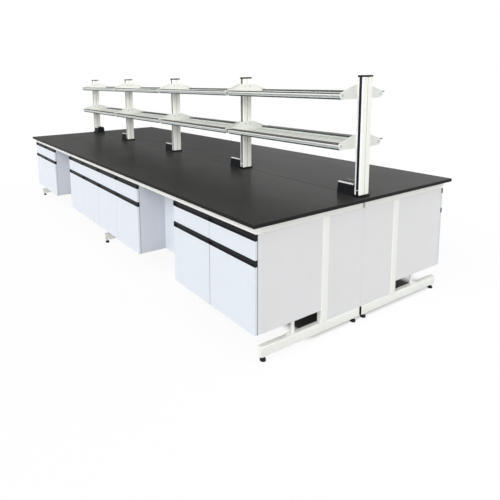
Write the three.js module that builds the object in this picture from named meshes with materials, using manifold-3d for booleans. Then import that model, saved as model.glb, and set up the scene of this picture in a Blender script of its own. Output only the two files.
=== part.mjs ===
// Double-sided laboratory bench with a two-tier reagent rack.
// Millimetres, +Z up. The origin is on the floor, under the middle of the bench.
// +X runs along the bench, the front row faces -Y and the back row faces +Y.

import * as THREE from 'three';
import { mergeVertices } from 'three/addons/utils/BufferGeometryUtils.js';
import Module from 'manifold-3d';

const wasm = await Module();
wasm.setup();

// Worktops: two slabs that meet on the centre line
const BENCH_LENGTH = 4800;
const ROW_DEPTH = 950;
const TOP_HEIGHT = 850;
const TOP_THICKNESS = 24;
const TOP_EDGE_ROUND = 2.5;
const TOP_SEAM = 2;

// Shallow seats in the worktops that the posts and socket boxes stand in
const SEAT_DEPTH = 2;
const SEAT_GAP = 0.3;

// Steel frames: foot bar, leg and top arm welded to a C
const TUBE_WIDTH = 36;
const TUBE_CORNER = 4;
const ARM_HEIGHT = 48;
const LEG_DEPTH = 58;
const FOOT_BAR_HEIGHT = 64;
const FOOT_CLEARANCE = 32;
const END_OVERHANG = 35;
const LEG_SETBACK = 574;
const FOOT_BAR_SETBACK = 85;
const ROW_GAP = 22;

// Levelling feet under the foot bars
const PAD_RADIUS = 18;
const PAD_HEIGHT = 20;
const PAD_RIM = 14;
const STEM_RADIUS = 8;
const PAD_OUTER_SETBACK = 112;
const PAD_INNER_SETBACK = 52;

// Bracket that carries a cabinet on the foot bar: foot, upright and a rail under the cabinet
const SUPPORT_SETBACK = 340;
const SUPPORT_WIDTH = 24;
const SUPPORT_THICKNESS = 12;
const SUPPORT_FOOT_REACH = 40;
const SUPPORT_FOOT_HEIGHT = 4;
const SUPPORT_RAIL_HEIGHT = 30;
const SUPPORT_RAIL_LENGTH = 110;
const BOLT_RADIUS = 5;
const BOLT_HEIGHT = 5;

// Board panels that close the ends between the legs
const END_PANEL_RECESS = 2;
const END_PANEL_SEAM = 1;

// Apron beam under the front edge of a worktop
const APRON_DEPTH = 40;

// Cabinets, doors and drawers
const CABINET_WIDTH = 886;
const CABINET_BOTTOM = 180;
const CABINET_RECESS = 2;
const BOARD = 18;
const BACK_BOARD = 8;
const STRETCHER_DEPTH = 80;
const FRONT_SETBACK = 40;
const FRONT_THICKNESS = 18;
const FRONT_REVEAL = 4;
const BUMPER_GAP = 2;
const DRAWER_FRONT_HEIGHT = 111;

// Pull profile along the top edge of every door and drawer
const PULL_HEIGHT = 36;
const PULL_PROUD = 2;
const PULL_LIP_HEIGHT = 9;
const PULL_LIP_THICKNESS = 3;
const PULL_WALL = 6;
const PULL_SILL = 4;
const PULL_CHAMFER = 1.5;

// Drawer boxes and their runners
const DRAWER_WALL = 12;
const DRAWER_FLOOR = 6;
const DRAWER_FLOOR_RAISE = 6;
const DRAWER_FOOT_SPACE = 8;
const DRAWER_HEAD_SPACE = 27;
const DRAWER_BACK_SPACE = 65;
const RUNNER_THICKNESS = 6;
const RUNNER_HEIGHT = 28;
const RUNNER_GAP = 0.3;

// Concealed door hinges
const HINGE_CUP_RADIUS = 16;
const HINGE_CUP_HEIGHT = 6;
const HINGE_CUP_SPACE = 4;
const HINGE_END_DISTANCE = 95;
const HINGE_GAP = 0.3;
const HINGE_ARM_LENGTH = 55;
const HINGE_ARM_WIDTH = 16;
const HINGE_ARM_THICKNESS = 11;
const HINGE_NECK_DEPTH = 14;

// Board panels at the back of the knee spaces
const KNEE_PANEL_SETBACK = 294;

// Aluminium posts of the reagent rack
const POST_COUNT = 5;
const POST_END_OFFSET = 60;
const POST_WIDTH = 42;
const POST_DEPTH = 98;
const POST_CORNER = 4;
const POST_SLOT_WIDTH = 22;
const POST_SLOT_DEPTH = 9;
const POST_GROOVE_WIDTH = 4;
const POST_GROOVE_DEPTH = 3;
const RACK_HEIGHT = 775;
const CAP_THICKNESS = 8;
const CAP_MARGIN = 3;
const SKIRT_HEIGHT = 8;
const SKIRT_MARGIN = 5;

// Shelves of the rack: end plates, two rails and a board
const SHELF_LOWER_HEIGHT = 316;
const SHELF_UPPER_HEIGHT = 630;
const PLATE_THICKNESS = 4;
const PLATE_HEIGHT = 88;
const PLATE_CROWN = 118;
const PLATE_REACH = 196;
const PLATE_TIP_HEIGHT = 44;
const PLATE_FOOT_INSET = 16;
const RAIL_HEIGHT = 40;
const RAIL_WIDTH = 30;
const RAIL_LIP_REACH = 20;
const RAIL_LIP_THICKNESS = 7;
const RAIL_TOE_REACH = 7;
const SHELF_BOARD = 8;
const SHELF_BOARD_RAISE = 12;
const SHELF_RIB_PITCH = 50;
const SHELF_RIB_WIDTH = 4;
const SHELF_RIB_HEIGHT = 2;

// Socket boxes beside the posts
const SOCKET_LENGTH = 124;
const SOCKET_DEPTH = 110;
const SOCKET_HEIGHT = 82;
const SOCKET_EDGE = 6;
const SOCKET_TAPER = 8;

// Fineness of round forms
const ROUND_STEPS = 12;
const CORNER_STEPS = 2;
const WELD = 1e-4;

// Levels and places worked out from the sizes above
const HALF_LENGTH = BENCH_LENGTH / 2;
const UNDERSIDE = TOP_HEIGHT - TOP_THICKNESS;
const ARM_BOTTOM = UNDERSIDE - ARM_HEIGHT;
const FOOT_BAR_TOP = FOOT_CLEARANCE + FOOT_BAR_HEIGHT;
const FRAME_END = HALF_LENGTH - END_OVERHANG;
const CABINET_END = FRAME_END - CABINET_RECESS;
const KNEE_WIDTH = CABINET_END - 2 * CABINET_WIDTH;
const COLUMN_WIDTH = CABINET_WIDTH / 2;

const DRAWER_TOP = ARM_BOTTOM - FRONT_REVEAL;
const DRAWER_PULL_BOTTOM = DRAWER_TOP - PULL_HEIGHT;
const DRAWER_BOTTOM = DRAWER_PULL_BOTTOM - DRAWER_FRONT_HEIGHT;
const DOOR_TOP = DRAWER_BOTTOM - FRONT_REVEAL;
const DOOR_PULL_BOTTOM = DOOR_TOP - PULL_HEIGHT;

// Depths are given as distances behind the worktop's front edge
const FRONT_BACK = FRONT_SETBACK + FRONT_THICKNESS;
const CARCASS_FRONT = FRONT_BACK + BUMPER_GAP;
const CARCASS_INNER_BACK = LEG_SETBACK - BACK_BOARD;
const DRAWER_BACK = CARCASS_INNER_BACK - DRAWER_BACK_SPACE;
const STRETCHER_BOTTOM = ARM_BOTTOM - BOARD;
const DRAWER_BOX_BOTTOM = DRAWER_BOTTOM + DRAWER_FOOT_SPACE;
const DRAWER_BOX_TOP = STRETCHER_BOTTOM - DRAWER_HEAD_SPACE;
const RUNNER_MIDDLE = (DRAWER_BOX_BOTTOM + DRAWER_BOX_TOP) / 2;

const POST_PITCH = (BENCH_LENGTH - 2 * POST_END_OFFSET) / (POST_COUNT - 1);
const RACK_TOP = TOP_HEIGHT + RACK_HEIGHT;

// Finishes
const finish = (color, roughness, metalness) => ({ color, roughness, metalness, flatShading: true });
const BLACK_RESIN = finish(0x2b2d2c, 0.32, 0.0);
const WHITE_STEEL = finish(0xeef0ea, 0.4, 0.1);
const WHITE_BOARD = finish(0xe8eef6, 0.35, 0.0);
const GREY_BOARD = finish(0xdedee0, 0.45, 0.0);
const PALE_ALUMINIUM = finish(0xe4e6de, 0.35, 0.6);
const SHELF_GREY = finish(0xdee2da, 0.4, 0.4);
const BLACK_PLASTIC = finish(0x14161a, 0.4, 0.0);

// Turns a three.js geometry into a closed solid
function solidFrom(geometry) {
  const bare = geometry.clone();
  bare.deleteAttribute('normal');
  bare.deleteAttribute('uv');
  const welded = mergeVertices(bare, WELD);
  const corners = welded.index.array;
  const triangles = [];
  for (let i = 0; i < corners.length; i += 3) {
    const [a, b, c] = corners.slice(i, i + 3);
    if (a !== b && b !== c && c !== a) triangles.push(a, b, c);
  }
  return new wasm.Manifold(new wasm.Mesh({
    numProp: 3,
    vertProperties: new Float32Array(welded.attributes.position.array),
    triVerts: new Uint32Array(triangles),
  }));
}

function join(solids) {
  return solids.reduce((whole, solid) => whole.add(solid));
}

// Box between two limits along each axis
function block([x0, x1], [y0, y1], [z0, z1]) {
  const geometry = new THREE.BoxGeometry(x1 - x0, y1 - y0, z1 - z0);
  geometry.translate((x0 + x1) / 2, (y0 + y1) / 2, (z0 + z1) / 2);
  return solidFrom(geometry);
}

// The axes that an outline's own x, y and its depth are laid along
const ALONG_X = [new THREE.Vector3(0, 1, 0), new THREE.Vector3(0, 0, 1), new THREE.Vector3(1, 0, 0)];
const ALONG_Y = [new THREE.Vector3(0, 0, 1), new THREE.Vector3(1, 0, 0), new THREE.Vector3(0, 1, 0)];
const ALONG_Z = [new THREE.Vector3(1, 0, 0), new THREE.Vector3(0, 1, 0), new THREE.Vector3(0, 0, 1)];

// Outline carried along one axis from start to end
function extrude(outline, axes, start, end) {
  const geometry = new THREE.ExtrudeGeometry(outline, {
    depth: end - start,
    bevelEnabled: false,
    curveSegments: CORNER_STEPS,
  });
  geometry.translate(0, 0, start);
  geometry.applyMatrix4(new THREE.Matrix4().makeBasis(...axes));
  return solidFrom(geometry);
}

// Rectangle with rounded corners, about a centre
function roundedRectangle(width, height, radius, centreX, centreY) {
  const right = centreX + width / 2;
  const left = centreX - width / 2;
  const top = centreY + height / 2;
  const bottom = centreY - height / 2;
  const outline = new THREE.Shape();
  outline.absarc(right - radius, bottom + radius, radius, -Math.PI / 2, 0);
  outline.absarc(right - radius, top - radius, radius, 0, Math.PI / 2);
  outline.absarc(left + radius, top - radius, radius, Math.PI / 2, Math.PI);
  outline.absarc(left + radius, bottom + radius, radius, Math.PI, 1.5 * Math.PI);
  outline.closePath();
  return outline;
}

// Profile of radius and height turned about an upright axis
function turned(profile, x, y) {
  const points = profile.map(([radius, height]) => new THREE.Vector2(radius, height));
  const geometry = new THREE.LatheGeometry(points, ROUND_STEPS);
  geometry.rotateX(Math.PI / 2);
  geometry.translate(x, y, 0);
  return solidFrom(geometry);
}

// Limits across the front row, from two distances behind the worktop's front edge
function across(near, far) {
  return [near - ROW_DEPTH, far - ROW_DEPTH];
}

const bench = new THREE.Group();
const frontRow = new THREE.Group();
const backRow = new THREE.Group();
backRow.rotation.z = Math.PI;
bench.add(frontRow, backRow);

function place(group, name, solid, look) {
  const { vertProperties, triVerts } = solid.getMesh();
  const geometry = new THREE.BufferGeometry();
  geometry.setAttribute('position', new THREE.BufferAttribute(vertProperties, 3));
  geometry.setIndex(new THREE.BufferAttribute(triVerts, 1));
  const mesh = new THREE.Mesh(geometry, new THREE.MeshStandardMaterial(look));
  mesh.name = name;
  group.add(mesh);
}

// Places of the posts along the bench, and the side of each that its socket box stands on
const postX = (index) => (index - (POST_COUNT - 1) / 2) * POST_PITCH;
const socketSide = (index) => (index === 0 ? 1 : -1);
const POSTS = Array.from({ length: POST_COUNT }, (unused, index) => index);

// Ends of a socket box along the bench
function socketSpan(index) {
  const start = postX(index) + socketSide(index) * (POST_WIDTH / 2 + SKIRT_MARGIN);
  return [start, start + socketSide(index) * SOCKET_LENGTH].sort((a, b) => a - b);
}

// Seats of one post and its socket box, in a row that is turned by the given sign
function seats(index, turn) {
  const skirt = POST_WIDTH / 2 + SKIRT_MARGIN;
  const height = [TOP_HEIGHT - SEAT_DEPTH, TOP_HEIGHT + SEAT_DEPTH];
  const spans = [
    [[postX(index) - skirt, postX(index) + skirt], POST_DEPTH / 2 + SKIRT_MARGIN],
    [socketSpan(index), SOCKET_DEPTH / 2],
  ];
  return spans.map(([ends, half]) => {
    const [left, right] = ends.map((x) => turn * x).sort((a, b) => a - b);
    return block([left - SEAT_GAP, right + SEAT_GAP], [-half - SEAT_GAP, SEAT_GAP], height);
  });
}

// Slab with a rounded edge all round, reaching to the seam on the centre line
function worktop(turn) {
  const [front, back] = across(TOP_EDGE_ROUND, ROW_DEPTH - TOP_SEAM / 2 - TOP_EDGE_ROUND);
  const reach = HALF_LENGTH - TOP_EDGE_ROUND;
  const outline = new THREE.Shape([
    new THREE.Vector2(-reach, front),
    new THREE.Vector2(reach, front),
    new THREE.Vector2(reach, back),
    new THREE.Vector2(-reach, back),
  ]);
  const geometry = new THREE.ExtrudeGeometry(outline, {
    depth: TOP_THICKNESS - 2 * TOP_EDGE_ROUND,
    bevelSize: TOP_EDGE_ROUND,
    bevelThickness: TOP_EDGE_ROUND,
    bevelSegments: CORNER_STEPS,
  });
  geometry.translate(0, 0, UNDERSIDE + TOP_EDGE_ROUND);
  return solidFrom(geometry).subtract(join(POSTS.flatMap((index) => seats(index, turn))));
}

// Square-section beam under the worktop's front edge, above the fronts
function apronBeam() {
  const middle = FRONT_SETBACK + APRON_DEPTH / 2 - ROW_DEPTH;
  const section = roundedRectangle(APRON_DEPTH, ARM_HEIGHT, TUBE_CORNER, middle, UNDERSIDE - ARM_HEIGHT / 2);
  return extrude(section, ALONG_X, -FRAME_END, FRAME_END);
}

// Foot with a threaded stem that turns into the foot bar
function levellingFoot(x, setback) {
  const profile = [
    [0, 0],
    [PAD_RADIUS, 0],
    [PAD_RADIUS, PAD_RIM],
    [STEM_RADIUS, PAD_HEIGHT],
    [STEM_RADIUS, FOOT_CLEARANCE + TUBE_CORNER],
    [0, FOOT_CLEARANCE + TUBE_CORNER],
  ];
  return turned(profile, x, setback - ROW_DEPTH);
}

// Bracket on the foot bar, its rail reaching under the cabinet on the given side
function cabinetSupport(x, side) {
  const reach = (distance) => x + side * (TUBE_WIDTH / 2 - TUBE_CORNER - SUPPORT_THICKNESS + distance);
  const span = (near, far) => [reach(near), reach(far)].sort((a, b) => a - b);
  const seat = FOOT_BAR_TOP - TUBE_CORNER;
  const footTop = FOOT_BAR_TOP + SUPPORT_FOOT_HEIGHT;
  const depth = across(SUPPORT_SETBACK, SUPPORT_SETBACK + SUPPORT_WIDTH);
  const boltSetback = SUPPORT_SETBACK - SUPPORT_FOOT_REACH / 2;
  const bolt = [
    [0, seat],
    [BOLT_RADIUS, seat],
    [BOLT_RADIUS, footTop + BOLT_HEIGHT],
    [0, footTop + BOLT_HEIGHT],
  ];
  return join([
    block(span(0, SUPPORT_THICKNESS), depth, [seat, CABINET_BOTTOM]),
    block(
      span(0, SUPPORT_THICKNESS),
      across(SUPPORT_SETBACK - SUPPORT_FOOT_REACH, SUPPORT_SETBACK + SUPPORT_WIDTH),
      [seat, footTop],
    ),
    block(span(0, SUPPORT_RAIL_LENGTH), depth, [CABINET_BOTTOM - SUPPORT_RAIL_HEIGHT, CABINET_BOTTOM]),
    turned(bolt, reach(SUPPORT_THICKNESS / 2), boltSetback - ROW_DEPTH),
  ]);
}

// C-shaped frame of three tubes with its two feet
function frame(x) {
  const inner = ROW_DEPTH - ROW_GAP / 2;
  const legMiddle = LEG_SETBACK + LEG_DEPTH / 2 - ROW_DEPTH;
  const footBar = roundedRectangle(FOOT_BAR_HEIGHT, TUBE_WIDTH, TUBE_CORNER, FOOT_BAR_TOP - FOOT_BAR_HEIGHT / 2, x);
  const arm = roundedRectangle(ARM_HEIGHT, TUBE_WIDTH, TUBE_CORNER, UNDERSIDE - ARM_HEIGHT / 2, x);
  const leg = roundedRectangle(TUBE_WIDTH, LEG_DEPTH, TUBE_CORNER, x, legMiddle);
  return join([
    extrude(footBar, ALONG_Y, ...across(FOOT_BAR_SETBACK, inner)),
    extrude(leg, ALONG_Z, FOOT_BAR_TOP - FOOT_BAR_HEIGHT / 2, UNDERSIDE - ARM_HEIGHT / 2),
    extrude(arm, ALONG_Y, ...across(FRONT_SETBACK + APRON_DEPTH, inner)),
    levellingFoot(x, PAD_OUTER_SETBACK),
    levellingFoot(x, ROW_DEPTH - PAD_INNER_SETBACK),
  ]);
}

// Board between the leg and the centre line that closes the end of a row
function endPanel(side) {
  const outer = FRAME_END - END_PANEL_RECESS;
  const thickness = [outer - BOARD, outer].map((x) => side * x).sort((a, b) => a - b);
  const legMiddle = LEG_SETBACK + LEG_DEPTH / 2;
  const height = [FOOT_BAR_TOP - TUBE_CORNER, ARM_BOTTOM + TUBE_CORNER];
  return block(thickness, across(legMiddle, ROW_DEPTH - END_PANEL_SEAM / 2), height);
}

// Outline of the pull profile, seen along the bench: a finger scoop under a hooked lip
function pullOutline(bottom) {
  const face = FRONT_SETBACK - PULL_PROUD - ROW_DEPTH;
  const front = FRONT_SETBACK - ROW_DEPTH;
  const back = FRONT_BACK - ROW_DEPTH;
  const scoop = back - PULL_WALL;
  const top = bottom + PULL_HEIGHT;
  const lipBottom = top - PULL_LIP_HEIGHT;
  const outline = new THREE.Shape();
  outline.moveTo(back, bottom);
  outline.lineTo(back, top);
  outline.lineTo(face + PULL_CHAMFER, top);
  outline.lineTo(face, top - PULL_CHAMFER);
  outline.lineTo(face, lipBottom);
  outline.lineTo(face + PULL_LIP_THICKNESS, lipBottom);
  outline.quadraticCurveTo(scoop, lipBottom, scoop, (lipBottom + bottom + PULL_SILL) / 2);
  outline.quadraticCurveTo(scoop, bottom + PULL_SILL, front, bottom + PULL_SILL);
  outline.lineTo(front, bottom);
  outline.closePath();
  return outline;
}

// Panel with its pull profile along the top edge
function front(left, right, bottom, pullBottom) {
  return join([
    block([left, right], across(FRONT_SETBACK, FRONT_BACK), [bottom, pullBottom]),
    extrude(pullOutline(pullBottom), ALONG_X, left, right),
  ]);
}

// Inside limits of a drawer opening: a side board on the outer side, half a partition on the inner side
function drawerOpening(left, outerSide) {
  const right = left + COLUMN_WIDTH;
  return outerSide < 0 ? [left + BOARD, right - BOARD / 2] : [left + BOARD / 2, right - BOARD];
}

// Front, walls, floor and the moving halves of the two runners
function drawer(left, outerSide) {
  const [openLeft, openRight] = drawerOpening(left, outerSide);
  const boxLeft = openLeft + 2 * RUNNER_THICKNESS + RUNNER_GAP;
  const boxRight = openRight - 2 * RUNNER_THICKNESS - RUNNER_GAP;
  const depth = across(FRONT_BACK, DRAWER_BACK);
  const backWall = across(DRAWER_BACK - DRAWER_WALL, DRAWER_BACK);
  const height = [DRAWER_BOX_BOTTOM, DRAWER_BOX_TOP];
  const floor = DRAWER_BOX_BOTTOM + DRAWER_FLOOR_RAISE;
  const runnerHeight = [RUNNER_MIDDLE - RUNNER_HEIGHT / 2, RUNNER_MIDDLE + RUNNER_HEIGHT / 2];
  return join([
    front(left + FRONT_REVEAL / 2, left + COLUMN_WIDTH - FRONT_REVEAL / 2, DRAWER_BOTTOM, DRAWER_PULL_BOTTOM),
    block([boxLeft, boxLeft + DRAWER_WALL], depth, height),
    block([boxRight - DRAWER_WALL, boxRight], depth, height),
    block([boxLeft, boxRight], backWall, height),
    block([boxLeft, boxRight], depth, [floor, floor + DRAWER_FLOOR]),
    block([boxLeft - RUNNER_THICKNESS, boxLeft], depth, runnerHeight),
    block([boxRight, boxRight + RUNNER_THICKNESS], depth, runnerHeight),
  ]);
}

// Heights of the two hinges of a door
const HINGE_HEIGHTS = [CABINET_BOTTOM + HINGE_END_DISTANCE, DOOR_PULL_BOTTOM - HINGE_END_DISTANCE];

// Centre of the hinge cups, inwards from the outer side of a column
const HINGE_CUP_INSET = BOARD + HINGE_CUP_SPACE + HINGE_CUP_RADIUS;

// Edge of a column on its outer side
function outerEdge(left, outerSide) {
  return outerSide < 0 ? left : left + COLUMN_WIDTH;
}

// Panel with its pull profile and the hinge cups let into its back
function door(left, outerSide) {
  const cupX = outerEdge(left, outerSide) - outerSide * HINGE_CUP_INSET;
  const panel = front(
    left + FRONT_REVEAL / 2,
    left + COLUMN_WIDTH - FRONT_REVEAL / 2,
    CABINET_BOTTOM,
    DOOR_PULL_BOTTOM,
  );
  const cups = HINGE_HEIGHTS.map((z) => {
    const rim = FRONT_BACK + HINGE_CUP_HEIGHT - ROW_DEPTH;
    const depth = FRONT_THICKNESS / 2 + HINGE_CUP_HEIGHT;
    const cup = new THREE.CylinderGeometry(HINGE_CUP_RADIUS, HINGE_CUP_RADIUS, depth, ROUND_STEPS);
    cup.translate(cupX, rim - depth / 2, z);
    return solidFrom(cup);
  });
  return join([panel, ...cups]);
}

// Cranked hinge arm on a side board, reaching to just behind the cup
function hingeArm(left, outerSide, z) {
  const wall = outerEdge(left, outerSide) - outerSide * BOARD;
  const inward = (distance) => wall - outerSide * distance;
  const tip = FRONT_BACK + HINGE_CUP_HEIGHT + HINGE_GAP - ROW_DEPTH;
  const reach = HINGE_CUP_SPACE + HINGE_CUP_RADIUS;
  const outline = new THREE.Shape([
    new THREE.Vector2(inward(0), tip + HINGE_NECK_DEPTH),
    new THREE.Vector2(inward(HINGE_CUP_SPACE), tip),
    new THREE.Vector2(inward(reach), tip),
    new THREE.Vector2(inward(reach), tip + HINGE_NECK_DEPTH / 2),
    new THREE.Vector2(inward(HINGE_ARM_THICKNESS), tip + HINGE_NECK_DEPTH),
    new THREE.Vector2(inward(HINGE_ARM_THICKNESS), tip + HINGE_ARM_LENGTH),
    new THREE.Vector2(inward(0), tip + HINGE_ARM_LENGTH),
  ]);
  return extrude(outline, ALONG_Z, z - HINGE_ARM_WIDTH / 2, z + HINGE_ARM_WIDTH / 2);
}

// Fixed halves of the runners on the two walls of a drawer opening
function fixedRunners(left, outerSide) {
  const [openLeft, openRight] = drawerOpening(left, outerSide);
  const depth = across(CARCASS_FRONT, DRAWER_BACK);
  const height = [RUNNER_MIDDLE - RUNNER_HEIGHT / 2, RUNNER_MIDDLE + RUNNER_HEIGHT / 2];
  return [
    block([openLeft, openLeft + RUNNER_THICKNESS], depth, height),
    block([openRight - RUNNER_THICKNESS, openRight], depth, height),
  ];
}

// Open-fronted case of boards for two columns, with a floor between the drawers and the doors
function carcass(left) {
  const right = left + CABINET_WIDTH;
  const middle = left + COLUMN_WIDTH;
  const width = [left, right];
  const depth = across(CARCASS_FRONT, LEG_SETBACK);
  const height = [CABINET_BOTTOM, ARM_BOTTOM];
  const rearStretcher = across(CARCASS_INNER_BACK - STRETCHER_DEPTH, LEG_SETBACK);
  const columns = [[left, -1], [middle, 1]];
  return join([
    block([left, left + BOARD], depth, height),
    block([right - BOARD, right], depth, height),
    block(width, depth, [CABINET_BOTTOM, CABINET_BOTTOM + BOARD]),
    block(width, depth, [DRAWER_BOTTOM - BOARD, DRAWER_BOTTOM]),
    block(width, across(CARCASS_INNER_BACK, LEG_SETBACK), height),
    block(width, across(CARCASS_FRONT, CARCASS_FRONT + STRETCHER_DEPTH), [STRETCHER_BOTTOM, ARM_BOTTOM]),
    block(width, rearStretcher, [STRETCHER_BOTTOM, ARM_BOTTOM]),
    block([middle - BOARD / 2, middle + BOARD / 2], depth, [DRAWER_BOTTOM - BOARD, ARM_BOTTOM]),
    ...columns.flatMap(([edge, outerSide]) => fixedRunners(edge, outerSide)),
    ...columns.flatMap(([edge, outerSide]) => HINGE_HEIGHTS.map((z) => hingeArm(edge, outerSide, z))),
  ]);
}

// Board between two cabinets at the back of a knee space
function kneePanel(left, right) {
  const depth = across(KNEE_PANEL_SETBACK, KNEE_PANEL_SETBACK + BOARD);
  return block([left, right], depth, [CABINET_BOTTOM, ARM_BOTTOM]);
}

// Extruded post: rounded section with a wide slot front and back and a fine groove on each side
function rackPost(x) {
  const section = roundedRectangle(POST_WIDTH, POST_DEPTH, POST_CORNER, x, 0);
  const skirt = roundedRectangle(
    POST_WIDTH + 2 * SKIRT_MARGIN,
    POST_DEPTH + 2 * SKIRT_MARGIN,
    POST_CORNER,
    x,
    0,
  );
  const cap = roundedRectangle(POST_WIDTH + 2 * CAP_MARGIN, POST_DEPTH + 2 * CAP_MARGIN, POST_CORNER, x, 0);
  const bottom = TOP_HEIGHT + SKIRT_HEIGHT;
  const top = RACK_TOP - CAP_THICKNESS;
  let profile = extrude(section, ALONG_Z, bottom - SKIRT_HEIGHT / 2, top + CAP_THICKNESS / 2);
  for (const side of [-1, 1]) {
    const slotDepth = [side * (POST_DEPTH / 2 - POST_SLOT_DEPTH), side * POST_DEPTH].sort((a, b) => a - b);
    const grooveDepth = [
      x + side * (POST_WIDTH / 2 - POST_GROOVE_DEPTH),
      x + side * POST_WIDTH,
    ].sort((a, b) => a - b);
    const slotWidth = [x - POST_SLOT_WIDTH / 2, x + POST_SLOT_WIDTH / 2];
    const grooveWidth = [-POST_GROOVE_WIDTH / 2, POST_GROOVE_WIDTH / 2];
    profile = profile.subtract(block(slotWidth, slotDepth, [bottom, top]));
    profile = profile.subtract(block(grooveDepth, grooveWidth, [bottom, top]));
  }
  return join([
    profile,
    extrude(skirt, ALONG_Z, TOP_HEIGHT - SEAT_DEPTH, bottom),
    extrude(cap, ALONG_Z, top, RACK_TOP),
  ]);
}

// Outline of a shelf's end plate: a crown at the post that falls to a rounded tip front and back
function plateOutline(base) {
  const tipTop = base + PLATE_TIP_HEIGHT;
  const foot = PLATE_REACH - PLATE_FOOT_INSET;
  const crown = PLATE_CROWN / 2;
  const outline = new THREE.Shape();
  outline.moveTo(-foot, base);
  outline.lineTo(foot, base);
  outline.quadraticCurveTo(PLATE_REACH, base, PLATE_REACH, (base + tipTop) / 2);
  outline.quadraticCurveTo(PLATE_REACH, tipTop, foot, tipTop);
  outline.lineTo(crown, base + PLATE_HEIGHT);
  outline.lineTo(-crown, base + PLATE_HEIGHT);
  outline.lineTo(-foot, tipTop);
  outline.quadraticCurveTo(-PLATE_REACH, tipTop, -PLATE_REACH, (base + tipTop) / 2);
  outline.quadraticCurveTo(-PLATE_REACH, base, -foot, base);
  outline.closePath();
  return outline;
}

// Outline of a rail: a body with a toe below and a guard lip above, both turned outwards
function railOutline(base, side) {
  const outer = PLATE_REACH - RAIL_TOE_REACH;
  const inner = outer - RAIL_WIDTH;
  const top = base + RAIL_HEIGHT;
  const corner = (out, z) => new THREE.Vector2(side * out, z);
  return new THREE.Shape([
    corner(inner, base),
    corner(PLATE_REACH, base),
    corner(PLATE_REACH, base + RAIL_TOE_REACH),
    corner(outer, base + RAIL_TOE_REACH),
    corner(outer, top - RAIL_LIP_THICKNESS),
    corner(PLATE_REACH + RAIL_LIP_REACH, top - RAIL_LIP_THICKNESS),
    corner(PLATE_REACH + RAIL_LIP_REACH, top),
    corner(inner, top),
  ]);
}

// Shelf of one bay: two end plates against the posts, two rails and a ribbed board
function shelf(left, right, base) {
  const inner = PLATE_REACH - RAIL_TOE_REACH - RAIL_WIDTH;
  const boardTop = base + SHELF_BOARD_RAISE + SHELF_BOARD;
  const rails = [-1, 1].map((side) => {
    return extrude(railOutline(base, side), ALONG_X, left + PLATE_THICKNESS / 2, right - PLATE_THICKNESS / 2);
  });
  const span = [left + PLATE_THICKNESS / 2, right - PLATE_THICKNESS / 2];
  const ribs = [];
  for (let y = SHELF_RIB_PITCH / 2; y < inner - SHELF_RIB_WIDTH; y += SHELF_RIB_PITCH) {
    for (const middle of [-y, y]) {
      const width = [middle - SHELF_RIB_WIDTH / 2, middle + SHELF_RIB_WIDTH / 2];
      ribs.push(block(span, width, [boardTop - SHELF_BOARD / 2, boardTop + SHELF_RIB_HEIGHT]));
    }
  }
  return join([
    extrude(plateOutline(base), ALONG_X, left, left + PLATE_THICKNESS),
    extrude(plateOutline(base), ALONG_X, right - PLATE_THICKNESS, right),
    ...rails,
    block(span, [-inner - RAIL_WIDTH / 2, inner + RAIL_WIDTH / 2], [base + SHELF_BOARD_RAISE, boardTop]),
    ...ribs,
  ]);
}

// Box with a tapered front and back and chamfered top edges, on the worktop beside a post
function socketBox(index) {
  const [left, right] = socketSpan(index);
  const half = SOCKET_DEPTH / 2;
  const top = TOP_HEIGHT + SOCKET_HEIGHT;
  const outline = new THREE.Shape([
    new THREE.Vector2(-half, TOP_HEIGHT - SEAT_DEPTH),
    new THREE.Vector2(half, TOP_HEIGHT - SEAT_DEPTH),
    new THREE.Vector2(half, TOP_HEIGHT),
    new THREE.Vector2(half - SOCKET_TAPER, top - SOCKET_EDGE),
    new THREE.Vector2(half - SOCKET_TAPER - SOCKET_EDGE, top),
    new THREE.Vector2(-half + SOCKET_TAPER + SOCKET_EDGE, top),
    new THREE.Vector2(-half + SOCKET_TAPER, top - SOCKET_EDGE),
    new THREE.Vector2(-half, TOP_HEIGHT),
  ]);
  return extrude(outline, ALONG_X, left, right);
}

// Left edges of the cabinets in a row, from left to right as seen from the front row
const CABINET_LEFTS = {
  left: -CABINET_END,
  middle_left: -CABINET_WIDTH,
  middle_right: 0,
  right: CABINET_END - CABINET_WIDTH,
};
const UNITS = Object.keys(CABINET_LEFTS);
const FRAME_MIDDLES = {
  left: -FRAME_END + TUBE_WIDTH / 2,
  middle: 0,
  right: FRAME_END - TUBE_WIDTH / 2,
};

// Sides of each frame on which a bracket carries a cabinet
const SUPPORT_SIDES = {
  front: { left: [1], middle: [-1, 1], right: [-1] },
  back: { left: [1], middle: [], right: [-1] },
};

// The back row is the front row turned about the middle, so its left and right change places
const OPPOSITE = { left: 'right', middle: 'middle', right: 'left' };

// Worktop, apron beam and frames of both rows
for (const [row, group, turn] of [['front', frontRow, 1], ['back', backRow, -1]]) {
  place(group, `worktop_${row}`, worktop(turn), BLACK_RESIN);
  place(group, `apron_beam_${row}`, apronBeam(), WHITE_STEEL);
  for (const [where, x] of Object.entries(FRAME_MIDDLES)) {
    const name = row === 'front' ? where : OPPOSITE[where];
    const pieces = [frame(x)];
    if (where !== 'middle') pieces.push(endPanel(Math.sign(x)));
    pieces.push(...SUPPORT_SIDES[row][where].map((side) => cabinetSupport(x, side)));
    place(group, `frame_${row}_${name}`, join(pieces), WHITE_STEEL);
  }
}

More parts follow.
